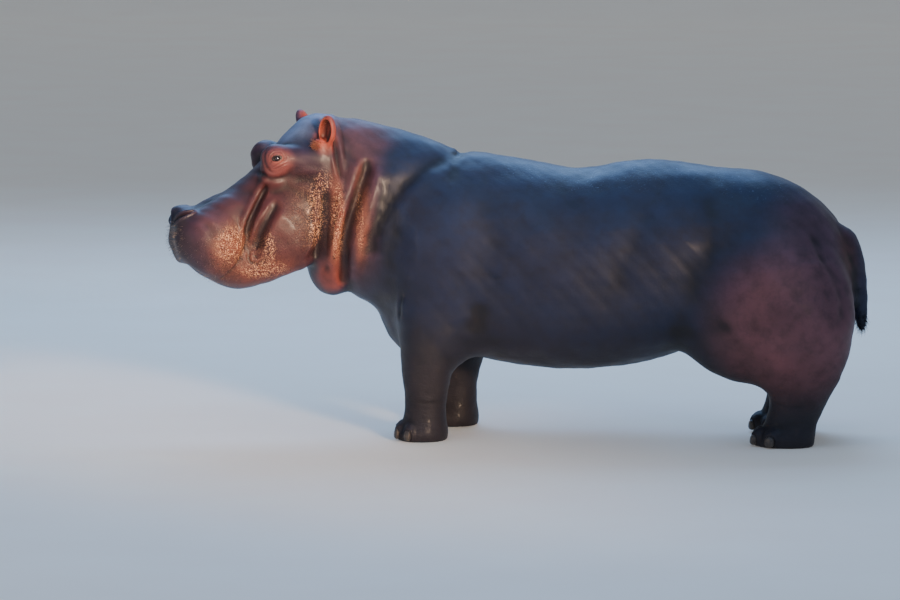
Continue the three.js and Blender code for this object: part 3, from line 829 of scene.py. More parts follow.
def splitLong(points, faces, size):  # halves the edges that are too long, and fits the faces to them
    count = len(points)
    pairs = np.vstack([faces[:, [0, 1]], faces[:, [1, 2]], faces[:, [2, 0]]])
    keys, which = np.unique(np.sort(pairs, axis=1) @ np.array((count, 1)), return_inverse=True)
    a, b = keys // count, keys % count
    long = np.linalg.norm(points[a] - points[b], axis=1) > np.minimum(size[a], size[b]) * splitAt
    middle = np.full(len(keys), -1)
    middle[long] = count + np.arange(long.sum())
    points = np.vstack([points, (points[a[long]] + points[b[long]]) / 2])
    size = np.concatenate([size, np.minimum(size[a[long]], size[b[long]])])
    cuts = middle[which].reshape(3, -1).T
    kind = (cuts >= 0) @ np.array((1, 2, 4))
    result = [faces[kind == 0]]
    for turn in range(3):
        f, m = np.roll(faces, -turn, axis=1), np.roll(cuts, -turn, axis=1)
        k = (m >= 0) @ np.array((1, 2, 4))
        one = k == 1
        result += [np.column_stack([f[one, 0], m[one, 0], f[one, 2]]),
                   np.column_stack([m[one, 0], f[one, 1], f[one, 2]])]
        two = k == 3
        result += [np.column_stack([m[two, 0], f[two, 1], m[two, 1]]),
                   np.column_stack([f[two, 0], m[two, 0], m[two, 1]]),
                   np.column_stack([f[two, 0], m[two, 1], f[two, 2]])]
    full = kind == 7
    f, m = faces[full], cuts[full]
    result += [np.column_stack([f[:, 0], m[:, 0], m[:, 2]]), np.column_stack([m[:, 0], f[:, 1], m[:, 1]]),
               np.column_stack([m[:, 2], m[:, 1], f[:, 2]]), m]
    return points, np.vstack(result), size


def neighbourMean(values, faces):
    total = np.zeros_like(values)
    count = np.zeros(len(values))
    for a, b in ((0, 1), (1, 2), (2, 0)):
        for column in range(values.shape[1]):
            total[:, column] += np.bincount(faces[:, a], values[faces[:, b], column], len(values))
            total[:, column] += np.bincount(faces[:, b], values[faces[:, a], column], len(values))
        count += np.bincount(faces[:, a], minlength=len(values))
        count += np.bincount(faces[:, b], minlength=len(values))
    return total / count[:, None]


def evenOut(points, faces, normal, share):  # slides the points along the hide to even out the faces
    move = neighbourMean(points, faces) - points
    move -= normal * (move * normal).sum(1)[:, None]
    return points + move * share


def faceAndPointNormals(points, faces):  # both as long as the faces' areas make them
    a, b, c = (points[faces[:, k]] for k in range(3))
    flat = np.cross(b - a, c - a)
    total = np.zeros_like(points)
    for k in range(3):
        for axis in range(3):
            total[:, axis] += np.bincount(faces[:, k], flat[:, axis], len(points))
    return flat, total


def unit(vectors):
    return vectors / (np.linalg.norm(vectors, axis=1)[:, None] + 1e-12)


def easeFolds(points, faces):  # smooths the few places where a face lies against its neighbours
    for _ in range(16):
        flat, total = faceAndPointNormals(points, faces)
        around = neighbourMean(neighbourMean(unit(total), faces), faces)[faces].mean(1)
        against = (unit(flat) * unit(around)).sum(1) < 0.30
        if not against.any():
            break
        loose = np.zeros(len(points), bool)
        loose[faces[against]] = True
        loose[faces[loose[faces].any(1)]] = True
        points = np.where(loose[:, None], (points + neighbourMean(points, faces)) / 2, points)
    print("hide, folded faces left:", int(against.sum()))
    return points


meshing = {
    "low": (-1.84, -0.60, -0.04), "high": (1.80, 0.60, 1.70), "cell": 0.0224,
    "grown": (0.0, 0.3, 0.6, 0.85, 1.0),  # the fine forms come in step by step, so that the faces follow
    "settle": (0.3, 0.15, 0),  # how much the last rounds even out
}


def shapeHide():
    points, faces = gridSurface(meshing["low"], meshing["high"], meshing["cell"])
    print("hide, first pass:", len(faces), "faces")

    def follow(points, grown, most, share):
        step, normal = towardsHide(points, grown, most)
        return evenOut(points - step, faces, normal, share)
    for grown in meshing["grown"]:
        for _ in range(2):
            points = follow(points, grown, 0.010, 0.5)
        size = wantedSize(points)
        for _ in range(2):
            points, faces, size = splitLong(points, faces, size)
        points = follow(points, grown, 0.008, 0.35)
    for share in meshing["settle"]:
        points = follow(points, 1.0, 0.004, share)
    step, normal = towardsHide(points, 1.0, 0.002)
    points = easeFolds(points - step, faces)
    off = round(float(np.abs(step).max()) * 1000, 2)
    print("hide, finished:", len(faces), "faces, off by up to", off, "mm")
    return points, faces


pose = {
    "bendStart": -0.450,  # x where the neck begins to turn
    "bendEnd": -0.950,
    "headTurn": math.radians(20),
}


def turnHead(p):  # points past the root of the neck go round the bend
    reach = pose["bendStart"] - pose["bendEnd"]
    radius = reach / pose["headTurn"]
    x, y = p[:, 0], p[:, 1]
    turn = np.clip(pose["bendStart"] - x, 0, reach) / radius
    past = np.maximum(0, pose["bendEnd"] - x)
    bent = np.column_stack([
        pose["bendStart"] - radius * np.sin(turn) - past * np.cos(turn) - y * np.sin(turn),
        -radius * (1 - np.cos(turn)) - past * np.sin(turn) + y * np.cos(turn),
        p[:, 2],
    ])
    return np.where((turn > 0)[:, None], bent, p)


eyeLow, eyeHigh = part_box("eye_left")
origin = turnHead(eyeCenter(-1)[None])[0] - np.array((eyeLow + eyeHigh) / 2)


def inPlace(p):  # from the straight body to the frame
    return turnHead(np.asarray(p, float)) - origin


straight, faces = shapeHide()  # with the neck straight


def linked(name, data):  # a new object in the scene
    made = bpy.data.objects.new(name, data)
    bpy.context.scene.collection.objects.link(made)
    return made


def meshPiece(name, points, polygons):
    mesh = bpy.data.meshes.new(name)
    mesh.from_pydata([tuple(p) for p in points], [], [tuple(int(i) for i in f) for f in polygons])
    mesh.validate()
    mesh.shade_smooth()
    return linked(name, mesh)


def hollows(points, faces):  # how hollow each place is, from -1 on ridges to 1 in creases
    normal = faceAndPointNormals(points, faces)[1]
    normal /= np.linalg.norm(normal, axis=1)[:, None]
    smoothed = points.copy()
    for _ in range(6):
        smoothed = neighbourMean(smoothed, faces)
    broad = ((smoothed - points) * normal).sum(1)
    fine = ((neighbourMean(points, faces) - points) * normal).sum(1)
    hollow = (broad + 2 * fine)[:, None]
    for _ in range(2):
        hollow = neighbourMean(hollow, faces)
    return np.clip(hollow[:, 0] / hideColors["hollowDepth"], -1, 1), normal


hideColors = {
    # the blue of back and side is partly the hide's dark slate tone and partly painted reflection of the sky
    # on the wet hide; the bluer back tint is painted on high and upward-facing hide
    "back": (0.007, 0.014, 0.042),
    "side": (0.008, 0.012, 0.034),
    # painted shade: near black low on the body, for the shade under it
    "belly": (0.009, 0.008, 0.013),
    "legs": (0.014, 0.011, 0.015),
    "lidEdge": (0.020, 0.008, 0.007),
    "heights": {"back": (0.85, 1.20), "belly": (0.75, 0.45), "legs": (0.45, 0.30)},  # none to all of each
    # painted shade in hollows and creases, painted light on ridges, as shares of the colour
    "paintedShadeInHollows": 0.72, "paintedLightOnRidges": 0.35,
    "hollowDepth": 0.0028,  # metres that count as a full hollow
}
# colour, centre and reach with the neck straight, strength
patches = {
    "thigh": ((0.170, 0.058, 0.062), (1.42, 0.42, 0.62), (0.42, 0.30, 0.40), 0.9),
    "rump": ((0.105, 0.044, 0.054), (1.55, 0.30, 0.95), (0.30, 0.35, 0.45), 0.7),
    "neck": ((0.070, 0.026, 0.030), (-0.88, 0.28, 1.20), (0.22, 0.36, 0.48), 0.95),
    # painted light: the two neck ridges are the neck's reddish tone made bright orange, where the sun catches
    # them
    "frontRidge": ((0.260, 0.072, 0.036), (-0.975, 0.27, 1.06), (0.050, 0.16, 0.32), 0.95),
    "backRidge": ((0.170, 0.052, 0.030), (-0.825, 0.30, 1.12), (0.052, 0.16, 0.28), 0.85),
    # painted shade: near black ahead of the shoulder, in the hollow behind the neck ridges
    "shadedShoulderFront": ((0.006, 0.008, 0.018), (-0.66, 0.32, 1.10), (0.085, 0.20, 0.26), 0.9),
    "head": ((0.075, 0.021, 0.020), (-1.33, 0.20, 1.10), (0.42, 0.30, 0.42), 1.0),
    "cheek": ((0.052, 0.014, 0.012), (-1.12, 0.24, 1.13), (0.14, 0.16, 0.22), 0.9),
    # painted shade: dark in the groove behind the cheek
    "shadedBehindCheek": ((0.030, 0.012, 0.014), (-1.022, 0.25, 1.08), (0.030, 0.16, 0.26), 0.9),
    # the lip and chin are partly their own reddish tone and partly painted light, brighter orange where the
    # sun catches them
    "lip": ((0.190, 0.052, 0.028), (-1.49, 0.22, 0.97), (0.12, 0.14, 0.15), 0.9),
    "chin": ((0.120, 0.030, 0.017), (-1.36, 0.17, 0.83), (0.26, 0.20, 0.12), 0.85),
    # painted shade: the front of the muzzle dark, as the side turned from the light
    "shadedMuzzleFront": ((0.030, 0.016, 0.018), (-1.74, 0.02, 0.96), (0.12, 0.24, 0.19), 0.95),
    "muzzleSide": ((0.100, 0.040, 0.046), (-1.58, 0.18, 1.09), (0.10, 0.10, 0.07), 0.6),
    "muzzleTop": ((0.034, 0.026, 0.044), (-1.56, 0.00, 1.25), (0.26, 0.16, 0.13), 0.85),
    # painted reflection: pale blue for the sky on the wet forehead
    "foreheadSkySheen": ((0.120, 0.160, 0.260), (-1.15, 0.02, 1.57), (0.24, 0.16, 0.16), 0.95),
    "crown": ((0.080, 0.036, 0.042), (-0.84, 0.12, 1.53), (0.24, 0.24, 0.16), 0.85),
    "eyeMound": ((0.200, 0.052, 0.044), (-1.248, 0.20, 1.385), (0.080, 0.08, 0.085), 1.0),
    "lids": ((0.330, 0.088, 0.064), (-1.256, 0.21, 1.400), (0.040, 0.05, 0.034), 0.8),
    "ear": ((0.460, 0.080, 0.040), (-1.018, 0.215, 1.530), (0.068, 0.07, 0.110), 1.0),
    "tailRoot": ((0.075, 0.020, 0.018), (1.640, 0.10, 0.88), (0.070, 0.10, 0.22), 0.85),
    "jowl": ((0.190, 0.040, 0.026), (-0.98, 0.16, 0.80), (0.09, 0.18, 0.10), 0.8),
}


def mixInto(color, tint, share):  # changes color in place
    color += (np.array(tint) - color) * np.clip(share, 0, 1)[:, None]


def hideTints(p, hollow, normal):
    z = p[:, 2]
    color = np.tile(hideColors["side"], (len(p), 1))
    heights = hideColors["heights"]
    # painted sky reflection: high and upward-facing hide takes the bluer back tint
    mixInto(color, hideColors["back"], smooth(*heights["back"], z + 0.25 * normal[:, 2]))
    # painted shade: the lower hide takes the near-black belly tint
    mixInto(color, hideColors["belly"], smooth(*heights["belly"], z - 0.2 * normal[:, 2]))
    mixInto(color, hideColors["legs"], smooth(*heights["legs"], z))
    for tint, center, reach, strength in patches.values():
        d = np.linalg.norm((bothSides(p) - center) / reach, axis=1)
        mixInto(color, tint, smooth(1.25, 0.45, d) * strength)
    for side in (-1, 1):
        out, ahead, up = eyeAxes(side)
        q = p - eyeCenter(side)
        ring = np.hypot(q @ ahead / (eye["halfWidth"] + 0.003), (q @ up) / (eye["halfHeight"] + 0.003))
        mixInto(color, hideColors["lidEdge"], smooth(1.22, 1.02, ring) * (q @ out > 0))
    # painted shade darkens the hollows and creases, painted light brightens the ridges
    color *= (1 - hideColors["paintedShadeInHollows"] * np.clip(hollow, 0, 1))[:, None]
    color *= (1 + hideColors["paintedLightOnRidges"] * np.clip(-hollow, 0, 1))[:, None]
    return np.clip(color, 0, 1)


# centre and reach with the neck straight, strength
markZones = {
    "pebbles": [((-1.10, 0.24, 1.12), (0.17, 0.18, 0.27), 1.0),
                ((-1.43, 0.20, 0.93), (0.28, 0.18, 0.20), 1.0),
                ((-0.96, 0.28, 1.06), (0.07, 0.20, 0.30), 1.0),
                ((-0.82, 0.30, 1.10), (0.08, 0.20, 0.28), 0.8)],
    # painted glints: where sunlight is caught on the wet hide
    "paintedGlints": [((-1.495, 0.22, 0.985), (0.085, 0.14, 0.115), 1.0),
               ((-1.070, 0.26, 1.110), (0.045, 0.15, 0.180), 1.0),
               ((-1.025, 0.25, 1.300), (0.055, 0.12, 0.070), 1.0),
               ((-0.965, 0.28, 1.100), (0.032, 0.16, 0.210), 1.0),
               ((-1.290, 0.20, 0.840), (0.150, 0.14, 0.055), 1.0),
               ((-1.300, 0.22, 0.950), (0.030, 0.12, 0.110), 0.8),
               ((-0.835, 0.30, 1.080), (0.026, 0.16, 0.180), 0.7)],
    "wrinkles": [((-0.80, 0.28, 1.10), (0.34, 0.34, 0.50), 1.0)],
    # rough hide; this also places the painted sky glints
    "rough": [((0.45, 0.10, 1.36), (0.75, 0.40, 0.20), 1.0),
              ((1.25, 0.10, 1.32), (0.40, 0.36, 0.18), 1.0),
              ((-1.16, 0.00, 1.57), (0.22, 0.16, 0.12), 1.0),
              ((-0.60, 0.10, 1.50), (0.30, 0.20, 0.10), 0.5),
              ((-1.248, 0.20, 1.385), (0.09, 0.09, 0.09), 0.5),
              ((-1.70, 0.05, 0.98), (0.13, 0.20, 0.17), 0.5)],
}


def hideMarks(p):  # pebbles with painted golden glints of sunlight on their crowns, wrinkles of the neck, roughness of the back, which also places painted glints of sky, and legs
    def zones(name):
        return np.maximum.reduce([
            smooth(1.2, 0.5, np.linalg.norm((bothSides(p) - center) / reach, axis=1)) * strength
            for center, reach, strength in markZones[name]])
    # the first column is the pebbles, raised where the painted glints go
    pebbles = np.clip(0.55 * zones("pebbles") + 0.45 * zones("paintedGlints"), 0, 1)
    return np.column_stack([pebbles, zones("wrinkles"), zones("rough"), smooth(0.52, 0.30, p[:, 2])])


chartLook = {  # each region has charts of its own
    "gap": 0.02, "width": 5.4,  # metres on the flat map
    "headEnd": -0.97,
    "tail": (1.57, 0.12, 1.02),  # start, half width, top
    "legs": ((-0.75, 0.05, 0.50), (0.95, 1.75, 0.58)),  # front, back, top
    "ear": (0.105, 1.50),  # reach, bottom
}


def atlas(points, faces, normal):  # flat charts of each region, side by side, for the hide's own map
    for _ in range(40):
        normal = neighbourMean(normal, faces)
    middle = points[faces].mean(1)
    facing = normal[faces].mean(1) * (0.9, 1.15, 1.0)
    axis = np.abs(facing).argmax(1)
    chart = axis * 2 + (np.take_along_axis(facing, axis[:, None], 1)[:, 0] > 0)
    x, y, z = middle.T
    region = np.where(x < chartLook["headEnd"], 1, 0)
    start, half, top = chartLook["tail"]
    region[(x > start) & (np.abs(y) < half) & (z < top)] = 2
    for k, (low, high, top) in enumerate(chartLook["legs"]):
        leg = (x > low) & (x < high) & (z < top)
        region[leg] = 3 + 2 * k + (y[leg] > 0)
    reach, bottom = chartLook["ear"]
    for side in (-1, 1):
        center = earFrame(side)[0]
        region[(np.linalg.norm(middle - center, axis=1) < reach) & (z > bottom)] = 7 + (side > 0)
    group = region * 6 + chart
    boxes = []
    for g in np.unique(group):
        across = [k for k in range(3) if k != (g % 6) // 2]
        flat = points[faces[group == g]][:, :, across]
        low = flat.min((0, 1))
        boxes.append((g, across, low, flat.max((0, 1)) - low))
    boxes.sort(key=lambda box: -box[3][1])  # tallest first, on shelves
    gap, width = chartLook["gap"], chartLook["width"]
    places, cursor, shelf, tall = {}, gap, gap, 0.0
    for g, across, low, size in boxes:
        if cursor + size[0] + gap > width:
            cursor, shelf, tall = gap, shelf + tall + gap, 0.0
        places[g] = (across, low, np.array((cursor, shelf)))
        cursor += size[0] + gap
        tall = max(tall, size[1])
    scale = 1 / max(width, shelf + tall + gap)
    uv = np.zeros((len(faces), 3, 2))
    for g, (across, low, corner) in places.items():
        own = group == g
        uv[own] = (points[faces[own]][:, :, across] - low + corner) * scale
    return uv


def paint(piece, name, values):
    layer = piece.data.attributes.new(name, "FLOAT_COLOR", "POINT")
    rgba = np.ones((len(values), 4))
    rgba[:, :values.shape[1]] = values
    layer.data.foreach_set("color", rgba.astype(np.float32).ravel())


def addMap(mesh, uv):  # the UV map that the looks are kept in
    mesh.uv_layers.new(name="OFBake").uv.foreach_set("vector", uv.astype(np.float32).ravel())


hollow, straightNormal = hollows(straight, faces)
skin = meshPiece("skin", inPlace(straight), faces)
paint(skin, "tint", hideTints(straight, hollow, straightNormal))
paint(skin, "marks", hideMarks(straight))
skinUv = atlas(straight, faces, straightNormal)
addMap(skin.data, skinUv)
print("skin:", len(skin.data.polygons), "faces")


class Tree:  # nodes, added and joined by name
    def __init__(self, tree):
        self.tree = tree

    def add(self, kind, values=None, **settings):
        node = self.tree.nodes.new(kind)
        for key, value in settings.items():
            setattr(node, key, value)
        for key, value in (values or {}).items():
            self.feed(node.inputs[key], value)
        return node

    def feed(self, socket, value):
        if isinstance(value, bpy.types.NodeSocket):
            self.join(value, socket)
        else:
            socket.default_value = value

    def join(self, output, socket):
        self.tree.links.new(output, socket)


class Shader(Tree):  # a material with one Principled surface
    def __init__(self, name):
        self.material = bpy.data.materials.new(name)
        self.material.use_nodes = True
        super().__init__(self.material.node_tree)
        self.tree.nodes.clear()
        self.surface = self.add("ShaderNodeBsdfPrincipled")
        output = self.add("ShaderNodeOutputMaterial")
        self.join(self.surface.outputs[0], output.inputs["Surface"])
        self.place = self.add("ShaderNodeTexCoord").outputs["Object"]

    def finish(self, values):  # the surface's own sockets
        for key, value in values.items():
            self.feed(self.surface.inputs[key], value)
        return self.material

    def math(self, operation, a, b):
        return self.add("ShaderNodeMath", {0: a, 1: b}, operation=operation).outputs[0]

    def product(self, a, b):
        return self.math("MULTIPLY", a, b)

    def sum(self, a, b):
        return self.math("ADD", a, b)

    def mix(self, share, a, b):  # two colours
        return self.add("ShaderNodeMix", {0: share, 6: a, 7: b}, data_type="RGBA").outputs[2]

    def noise(self, scale, detail=4.0, rough=0.55, place=None):
        node = self.add("ShaderNodeTexNoise", {"Vector": place or self.place, "Scale": scale,
                                               "Detail": detail, "Roughness": rough})
        return node.outputs["Fac"]

    def cells(self, scale, feature="F1", place=None):
        node = self.add("ShaderNodeTexVoronoi", {"Vector": place or self.place, "Scale": scale},
                        feature=feature)
        return node.outputs["Distance"]

    def ramp(self, value, low, high, start=0.0, end=1.0):
        node = self.add("ShaderNodeMapRange", {"Value": value, "From Min": low, "From Max": high,
                                               "To Min": start, "To Max": end})
        return node.outputs[0]

    def attribute(self, name):
        return self.add("ShaderNodeAttribute", attribute_name=name, attribute_type="GEOMETRY")

    def bumps(self, layers):  # height, distance in metres, strength
        normal = None
        for height, distance, strength in layers:
            node = self.add("ShaderNodeBump", {"Height": height, "Distance": distance, "Strength": strength})
            if normal:
                self.join(normal, node.inputs["Normal"])
            normal = node.outputs[0]
        self.join(normal, self.surface.inputs["Normal"])


hideLook = {
    # repeats in a metre, so a higher number is finer
    "patchSize": 3.2, "mottleSize": 16, "spotSize": 62, "pebbleSize": 170, "skyGlintSize": 85,
    "wrinkleSize": 44, "fineWrinkleSize": 130, "grainSize": 300,
    # how strong each is
    "patches": 0.40, "mottling": 0.45, "spots": 0.9, "glintStrength": 0.84, "skyGlints": 0.34,
    # colours; crown is a painted golden glint of sunlight and the last is a painted blue glint of sky, both
    # on the wet hide
    "patch": (0.013, 0.010, 0.013, 1), "mottle": (0.010, 0.007, 0.008, 1), "spot": (0.016, 0.005, 0.005, 1),
    "crown": (1.0, 0.50, 0.25, 1), "skyGlint": (0.16, 0.24, 0.42, 1),
    # gloss
    "roughness": (0.33, 0.52), "specular": 0.40, "wetFilm": 0.06, "filmRoughness": 0.22,
    # metres
    "pebbleHeight": 0.0060, "wrinkleHeight": 0.0010, "warp": 0.022,
}


def hideMaterial():
    look = hideLook
    s = Shader("wetHide")
    color = s.attribute("tint").outputs["Color"]
    marked = s.attribute("marks")
    pebbles, wrinkles, rough = s.add("ShaderNodeSeparateColor", {"Color": marked.outputs["Color"]}).outputs
    legs = marked.outputs["Alpha"]

    patchy = s.noise(look["patchSize"], 5, 0.6)
    mottled = s.noise(look["mottleSize"], 6, 0.65)
    color = s.mix(s.ramp(patchy, 0.40, 0.70, 0.0, look["patches"]), color, look["patch"])
    color = s.mix(s.ramp(mottled, 0.45, 0.75, 0.0, look["mottling"]), color, look["mottle"])
    spots = s.ramp(s.cells(look["spotSize"]), 0.16, 0.36, 1.0, 0.0)
    scattered = s.ramp(s.noise(24, 3, 0.5), 0.46, 0.60)
    dark = s.product(s.product(spots, scattered), s.ramp(pebbles, 0.0, 0.5, 0.0, look["spots"]))
    color = s.mix(dark, color, look["spot"])

    drift = s.add("ShaderNodeTexNoise", {"Vector": s.place, "Scale": 30.0, "Detail": 3.0}).outputs["Color"]
    drift = s.add("ShaderNodeVectorMath", {0: drift, 1: (look["warp"],) * 3}, operation="MULTIPLY").outputs[0]
    warped = s.add("ShaderNodeVectorMath", {0: s.place, 1: drift}, operation="ADD").outputs[0]
    pebble = s.cells(look["pebbleSize"], "SMOOTH_F1", warped)
    # painted glints: pebble crowns tinted gold, for sunlight caught on the wet hide
    crowns = s.product(s.ramp(pebble, 0.46, 0.20), s.ramp(s.noise(60, 4, 0.6), 0.34, 0.56))
    paintedGlints = s.sum(s.product(pebbles, 0.08), s.ramp(pebbles, 0.5, 0.95, 0.0, look["glintStrength"]))
    color = s.mix(s.product(crowns, paintedGlints), color, look["crown"])
    # painted glints: small pale blue specks where the hide is rough, for the sky caught on the wet hide
    skyGlints = s.ramp(s.cells(look["skyGlintSize"], place=warped), 0.34, 0.16)
    skyGlints = s.product(skyGlints, s.ramp(s.noise(40, 4, 0.6), 0.48, 0.66))
    color = s.mix(s.product(skyGlints, s.ramp(rough, 0.5, 1.0, 0.0, look["skyGlints"])), color, look["skyGlint"])

    wet = s.ramp(s.noise(7, 6, 0.62), 0.30, 0.70, *look["roughness"])
    wetter = s.sum(s.ramp(pebbles, 0.5, 1.0, 0.10, -0.14), s.product(legs, 0.16))

    network = s.ramp(s.cells(look["wrinkleSize"], "DISTANCE_TO_EDGE", warped), 0.0, 0.16)
    finer = s.ramp(s.cells(look["fineWrinkleSize"], "DISTANCE_TO_EDGE", warped), 0.0, 0.16)
    stretched = s.add("ShaderNodeMapping", {"Vector": warped, "Rotation": (0, math.radians(-24), 0),
                                            "Scale": (1.0, 0.30, 0.14)}).outputs[0]
    banded = s.add("ShaderNodeMapping", {"Vector": warped, "Scale": (0.22, 0.22, 1.0)}).outputs[0]
    creased = s.sum(s.ramp(rough, 0, 1, 0.08, 0.45), s.product(legs, 0.35))
    s.bumps([
        (s.noise(26, 7, 0.62), 0.0040, 0.26),
        (network, look["wrinkleHeight"], creased),
        (finer, 0.0005, 0.20),
        (s.noise(34, 4, 0.55, banded), 0.0090, s.product(legs, 0.60)),
        (s.noise(46, 4, 0.6, stretched), 0.0070, s.product(wrinkles, 0.55)),
        (s.ramp(pebble, 0.0, 0.7, 1.0, 0.0), look["pebbleHeight"], s.product(pebbles, 0.70)),
        (s.noise(look["grainSize"], 4, 0.65), 0.0007, 0.35),
    ])
    return s.finish({"Base Color": color, "Roughness": s.sum(wet, wetter),
                     "Specular IOR Level": look["specular"], "Coat Weight": look["wetFilm"],
                     "Coat Roughness": look["filmRoughness"]})


skin.data.materials.append(hideMaterial())

eyeLook = {
    "corneaBulge": 0.0012, "irisRadius": 0.0162, "pupilHalfWidth": 0.0080, "pupilHalfHeight": 0.0045,
    "white": (0.034, 0.013, 0.010), "iris": (0.016, 0.006, 0.003), "rim": (0.005, 0.003, 0.002),
    "pupil": (0.004, 0.003, 0.003), "vein": (0.10, 0.02, 0.01, 1),
    "rimWidth": 0.0022,
    "filmRoughness": 0.02,
    "rings": 56, "around": 72, "crowding": 1.35,  # faces, closer together at the front
}


def roundBall(angles, around):  # points on a ball from pole to pole, and its faces
    turns = 2 * math.pi * np.arange(around) / around
    a, t = (grid.ravel() for grid in np.meshgrid(angles, turns, indexing="ij"))
    points = np.column_stack([np.sin(a) * np.cos(t), np.sin(a) * np.sin(t), np.cos(a)])
    points = np.vstack([points, (0, 0, 1), (0, 0, -1)])
    first, last = len(points) - 2, len(points) - 1
    lowest = (len(angles) - 1) * around
    polygons = [(i + k, i + around + k, i + around + (k + 1) % around, i + (k + 1) % around)
                for i in range(0, lowest, around) for k in range(around)]
    for k in range(around):
        n = (k + 1) % around
        polygons += [(first, k, n), (last, lowest + n, lowest + k)]
    return points, polygons


def eyeball(side, name):
    look = eyeLook
    out, ahead, up = eyeAxes(side)
    angles = math.pi * (np.arange(1, look["rings"]) / look["rings"]) ** look["crowding"]
    local, polygons = roundBall(angles, look["around"])
    local *= eye["radius"]
    across = np.hypot(local[:, 0], local[:, 1])
    front = local[:, 2] > 0
    local[:, 2] += look["corneaBulge"] * smooth(look["irisRadius"] * 1.1, 0, across) * front
    points = eyeCenter(side) + local @ np.array((ahead, up, out))
    if np.cross(ahead, up) @ out < 0:
        polygons = [p[::-1] for p in polygons]
    piece = meshPiece(name, inPlace(points), polygons)
    color = np.tile(look["white"], (len(points), 1))
    iris, rim = look["irisRadius"], look["rimWidth"]
    mixInto(color, look["rim"], smooth(iris + rim, iris + 0.0006, across) * front)
    mixInto(color, look["iris"], smooth(iris, iris - rim, across) * front)
    slit = np.hypot(local[:, 0] / look["pupilHalfWidth"], local[:, 1] / look["pupilHalfHeight"])
    mixInto(color, look["pupil"], smooth(1.15, 0.85, slit) * front)
    paint(piece, "tint", color)
    return piece


def eyeMaterial():
    s = Shader("wetEye")
    veins = s.ramp(s.noise(420, 4, 0.6), 0.45, 0.75, 0.0, 0.12)
    s.bumps([(s.noise(180, 3, 0.5), 0.0003, 0.2)])
    return s.finish({"Base Color": s.mix(veins, s.attribute("tint").outputs["Color"], eyeLook["vein"]),
                     "Roughness": s.ramp(s.noise(60, 2, 0.5), 0.3, 0.7, 0.04, 0.09),
                     "Coat Weight": 1.0, "Coat Roughness": eyeLook["filmRoughness"]})


wetEye = eyeMaterial()
eyes = [eyeball(-1, "eyeLeft"), eyeball(1, "eyeRight")]
for piece in eyes:
    piece.data.materials.append(wetEye)
print("eyes: done")

nailLook = {
    "dark": (0.028, 0.022, 0.019, 1), "light": (0.085, 0.066, 0.052, 1), "worn": (0.15, 0.12, 0.095, 1),
    "wear": 0.5, "roughness": (0.32, 0.55), "streakHeight": 0.0018,
}


def nailMesh(found):
    center, facing = nailFrame(*found)
    shape, polygons = roundBall(math.pi * np.arange(1, nail["rings"]) / nail["rings"], nail["around"])
    shape /= ((np.abs(shape) ** nail["square"]).sum(1) ** (1 / nail["square"]))[:, None]
    local = shape * (nail["deep"], nail["half"], nail["tall"])
    local[:, 0] += nail["grooveDepth"] * np.cos(shape[:, 1] * nail["grooves"] * math.pi) * (shape[:, 0] < 0)
    points = center + local @ facing.T
    points[:, 2] = np.maximum(points[:, 2], nail["clear"])
    return points, polygons


def nailMaterial():
    look = nailLook
    s = Shader("wornHorn")
    upright = s.add("ShaderNodeMapping", {"Vector": s.place, "Scale": (1, 1, 0.2)}).outputs[0]
    streaks = s.noise(60, 4, 0.6, upright)
    color = s.mix(s.ramp(streaks, 0.3, 0.7), look["dark"], look["light"])
    color = s.mix(s.ramp(s.noise(190, 3, 0.6), 0.5, 0.75, 0, look["wear"]), color, look["worn"])
    s.bumps([(streaks, look["streakHeight"], 0.5), (s.noise(400, 3, 0.6), 0.0004, 0.4)])
    return s.finish({"Base Color": color,
                     "Roughness": s.ramp(s.noise(90, 4, 0.6), 0.3, 0.7, *look["roughness"])})


horn = nailMaterial()
nailPieces = []
for leg in (foreleg, hindleg):
    for side, word in ((-1, "left"), (1, "right")):
        points, polygons = np.zeros((0, 3)), []
        for found in toesOf(leg, side):
            more, extra = nailMesh(found)
            polygons += [tuple(i + len(points) for i in face) for face in extra]
            points = np.vstack([points, more])
        piece = meshPiece(f"nails_{leg['name']}_{word}", inPlace(points), polygons)
        piece.data.materials.append(horn)
        nailPieces.append((piece, [f"nail_{leg['name']}_{word}_{i}" for i in (1, 2, 3, 4)]))
print("nails: done")

# zones with the neck straight: centre, reach, count, length, and the way the bristles lean
bristleSets = {
    "bristlesMuzzle": {
        "seed": 11, "thick": 0.00042, "curl": 0.16, "color": (0.42, 0.30, 0.22),
        "zones": [((-1.735, 0.05, 1.00), (0.06, 0.17, 0.12), 260, 0.024, (-0.3, 0.2, -0.3)),
                  ((-1.600, 0.20, 0.96), (0.15, 0.10, 0.12), 150, 0.017, (-0.3, 0.2, -0.8)),
                  ((-1.560, 0.10, 0.80), (0.16, 0.14, 0.08), 130, 0.018, (-0.2, 0.1, -0.6))],
    },
    "bristlesEars": {
        "seed": 12, "thick": 0.00036, "curl": 0.25, "color": (0.50, 0.20, 0.10),
        "zones": [((-1.030, 0.230, 1.560), (0.05, 0.06, 0.060), 360, 0.013, (-0.9, 0.3, 0.3)),
                  ((-1.062, 0.225, 1.470), (0.035, 0.04, 0.030), 260, 0.030, (-1.0, 0.4, 0.3))],
    },
    "bristlesTail": {
        "seed": 13, "thick": 0.00070, "curl": 0.20, "color": (0.014, 0.011, 0.011),
        "zones": [((1.718, 0.02, 0.590), (0.05, 0.05, 0.08), 260, 0.034, (0.1, 0.3, -2.6)),
                  ((1.700, 0.05, 0.720), (0.07, 0.05, 0.09), 120, 0.020, (0.3, 0.8, -2.4))],
    },
}


bristleShape = {
    "rings": 4, "sides": 4, "tipThickness": 0.12, "middle": 0.55,
    "deep": 0.0012,  # metres of root under the hide
    "spread": 0.16,
    "lengths": (0.6, 1.25),  # shares of the zone's length
    "clearOfNostril": (0.045, 0.065),  # metres
    "mapPatch": 0.003,
    "darkShare": 0.45, "roughness": 0.38,
}


